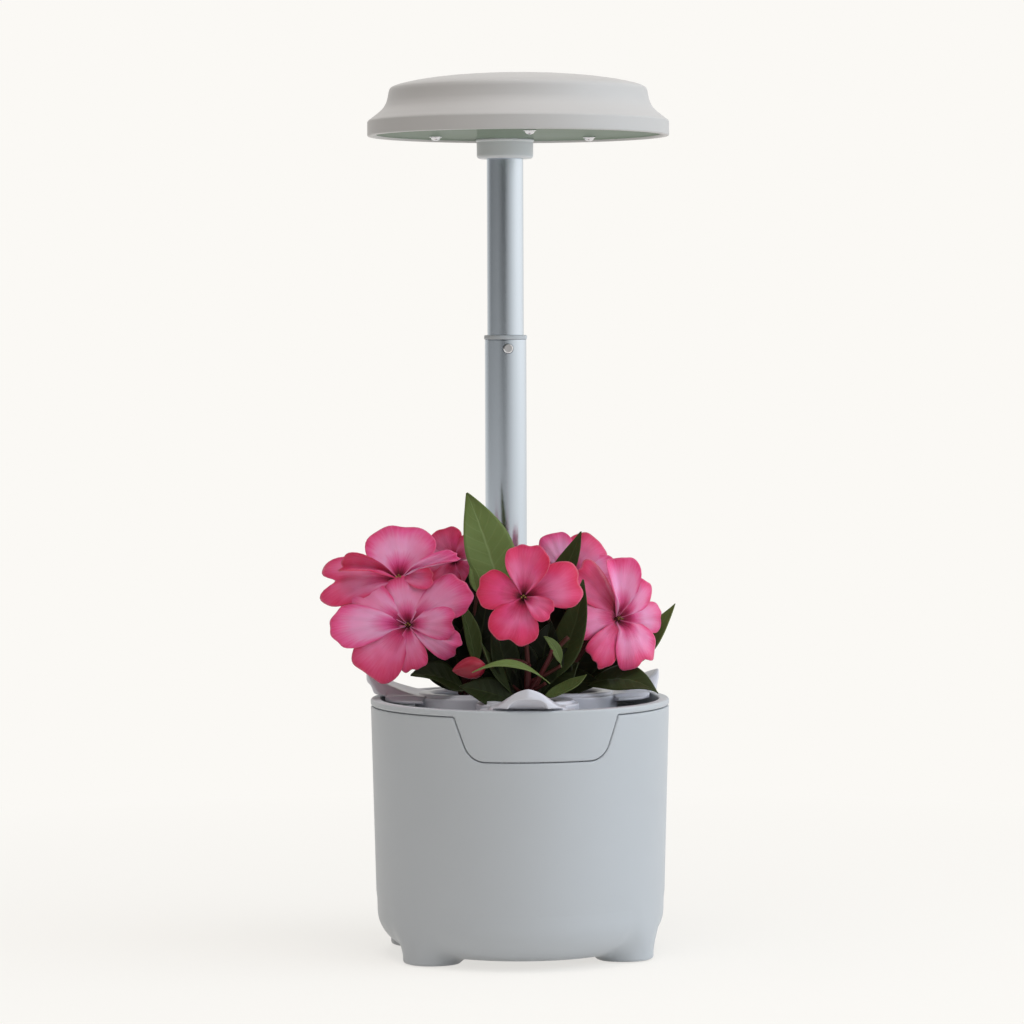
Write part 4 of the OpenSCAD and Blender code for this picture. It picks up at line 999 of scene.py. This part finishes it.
def plant(name, azimuth):
    """A pod's plant: leaves, petals, stalks and stamens, and the bud on the front one."""
    origin, body, top = at(azimuth, POD_AT, SPONGE_TOP), "pod_" + name, np.array(STEM_TOP[name])
    petals, blades, stalks, pollen = [], [], [], []
    for place, facing, lift, depth, rows in FLOWERS[name]:
        centre = np.array(place, float)
        right, up, out = face_axes(facing, lift)
        for columns, extras in rows:
            grid, uv, tone = petal(depth, *columns, **extras)
            petals.append((origin + centre + grid @ (right, up, out), uv, tone))
        back = centre - out * (depth + 0.3)
        stalks.append(stalk(top, back, 1.3, 1.0, (back - top) * 0.08 + [0, 0, -3]))
        stalks.append(drop(back + out * 0.4, out, 5.5, 5.0, 5, 0.12))
        pollen.append(drop(centre - out * (depth - 1.6) + up * 0.4, out + 0.3 * up, 4.2, 1.6, 4, 0.15))
        for k in (-1, 0, 1):
            knob = centre - out * (depth - 4.0) + right * 1.1 * k + up * (0.7 - abs(k))
            pollen.append(drop(knob, out + 0.4 * k * right, 2.2, 0.9, n=8, m=8))
    for p, q, *columns in LEAVES[name]:
        p, q = np.array(p, float), np.array(q, float)
        blades.append(leaf(origin + p, origin + q, *columns))
        stalks.append(stalk((0, 0, min(p[2], top[2]) * 0.6), p + (q - p) * 0.06, 1.2, 0.9, (0, 0, -1)))
    stalks += [stalk(*columns) for columns in [((0, 0, 0), top, 2.2, 1.7), *STALKS[name]]]
    sheet_object("foliage_" + name, blades, leaf_mat, body, "leaf", ["leaves_" + name], 0.45)
    sheet_object("petals_" + name, petals, petal_mat, body, "petal", ["blossoms_" + name], 0.35)
    pieces = [("stems_" + name, stalks, stem_mat, "leaf"), ("stamens_" + name, pollen, pollen_mat, "petal")]
    if name == "front":
        pieces.append(("flower_bud", [BUD], bud_mat, "petal"))
    for piece, parts, mat, slot in pieces:
        points, faces = join(*parts)
        make(piece, points + origin, faces, mat, body, slot)


for name, azimuth, _ in PODS:
    plant(name, azimuth)

# ---- stage, light and camera ----
PALE = (0.965, 0.947, 0.913)  # floor, backdrop and the world's light
AMBIENT = 0.4  # level of the world's light on the object
ROOM = 0.04  # least level that gloss and metal mirror
SHADOW_SHARE = 0.29  # how much of the floor by the object answers to light and shadow
FLOOR_LIGHT = 1.02  # the floor's own level under these lamps
RAYS = ("Is Camera Ray", "Is Glossy Ray", "Is Transmission Ray")


def floor_look():
    """Camera, mirror and transmission rays see PALE with the shadow; other rays a plain floor."""
    mat = bpy.data.materials.new("pale_floor")
    mat.use_nodes = True
    n, nodes = Nodes(mat.node_tree), mat.node_tree.nodes
    path = n.add("LightPath")
    spread = n.add("VectorMath", ((0, n.add("TexCoord").outputs["Object"]),), operation="LENGTH")
    near = n.minus(1.0, n.times(n.minus(spread.outputs["Value"], 0.15), 1.7, True), True)
    share = n.times(near, SHADOW_SHARE)
    seen = n.most(*(path.outputs[ray] for ray in RAYS))
    plain = n.add("BsdfDiffuse", (("Color", PALE),))
    catcher = n.add("BsdfDiffuse", (("Color", n.mix(share, (0, 0, 0), PALE)),))
    glow = n.add("Emission", (("Color", PALE), ("Strength", n.minus(1.0, n.times(share, FLOOR_LIGHT)))))
    both = n.add("AddShader", ((0, catcher.outputs[0]), (1, glow.outputs[0])))
    pick = n.add("MixShader", ((0, seen), (1, plain.outputs[0]), (2, both.outputs[0])))
    n.feed(nodes["Material Output"].inputs[0], pick.outputs[0])
    nodes.remove(nodes["Principled BSDF"])
    return mat


def studio_world():
    """Even light at AMBIENT, a background at full level, and a room to mirror: light on its right, behind the
    object and a little on its left, and dark elsewhere."""
    world = bpy.data.worlds.new("studio")
    world.use_nodes = True
    w = Nodes(world.node_tree)
    back = world.node_tree.nodes["Background"]
    path = w.add("LightPath")
    camera, glossy, through = (path.outputs[ray] for ray in RAYS)
    split = w.add("SeparateXYZ", ((0, w.add("TexCoord").outputs["Generated"]),))
    behind = w.plus(w.times(split.outputs[1], 1.2), -0.2, True)
    left = w.plus(w.times(split.outputs[0], -0.28), -0.02)
    right = w.plus(w.times(split.outputs[0], 1.25), 0.28)
    level = w.plus(w.times(glossy, w.minus(w.most(behind, ROOM, left, right), AMBIENT)), AMBIENT)
    w.feed(back.inputs["Color"], PALE)
    w.feed(back.inputs["Strength"], w.plus(w.times(w.most(camera, through), w.minus(1.0, level)), level))
    return world


def area(name, place, target, size, power, colour):
    """A soft lamp that lights the object but isn't mirrored in it."""
    data = bpy.data.lights.new(name, "AREA")
    data.shape, data.size, data.size_y, data.energy, data.color = "RECTANGLE", *size, power, colour
    ob = new_object(name, data)
    ob.location = place
    ob.rotation_mode = "QUATERNION"
    ob.rotation_quaternion = (Vector(target) - Vector(place)).to_track_quat("-Z", "Y")
    ob.visible_glossy = False


floor_data = bpy.data.meshes.new("floor")
floor_data.from_pydata([(-6, -5, 0), (6, -5, 0), (6, 9, 0), (-6, 9, 0)], [], [(0, 1, 2, 3)])
floor_data.materials.append(floor_look())
floor = new_object("floor", floor_data)
scene.world = studio_world()
area("window", (1.9, -0.85, 0.92), (0, 0, 0.22), (2.0, 1.9), 32.5, (0.77, 0.89, 1.0))
area("overhead", (-0.05, -0.4, 1.9), (0, 0, 0.1), (1.4, 1.4), 19.0, (1.0, 0.98, 0.96))

# The camera as fitted to the photo, in metres.
DISTANCE, AROUND, EYE, FOCAL_PIXELS, PHOTO_PIXELS, SENSOR = 2.12, radians(7.2), 0.3337, 3960, 1024, 36
look, down, roll = AROUND + radians(-0.106), radians(2.615), radians(-0.18)
cam_data = bpy.data.cameras.new("camera")
cam_data.lens, cam_data.sensor_width = FOCAL_PIXELS * SENSOR / PHOTO_PIXELS, SENSOR
cam_data.clip_start, cam_data.clip_end = 0.05, 50
cam = new_object("camera", cam_data)
scene.camera = cam
forward = Vector((sin(look) * cos(down), cos(look) * cos(down), -sin(down)))
right = Vector((cos(look), -sin(look), 0))
turn = Matrix((right, right.cross(forward), -forward)).transposed().to_4x4() @ Matrix.Rotation(roll, 4, "Z")
cam.matrix_world = Matrix.Translation((-DISTANCE * sin(AROUND), -DISTANCE * cos(AROUND), EYE)) @ turn
scene.view_settings.view_transform = "Standard"
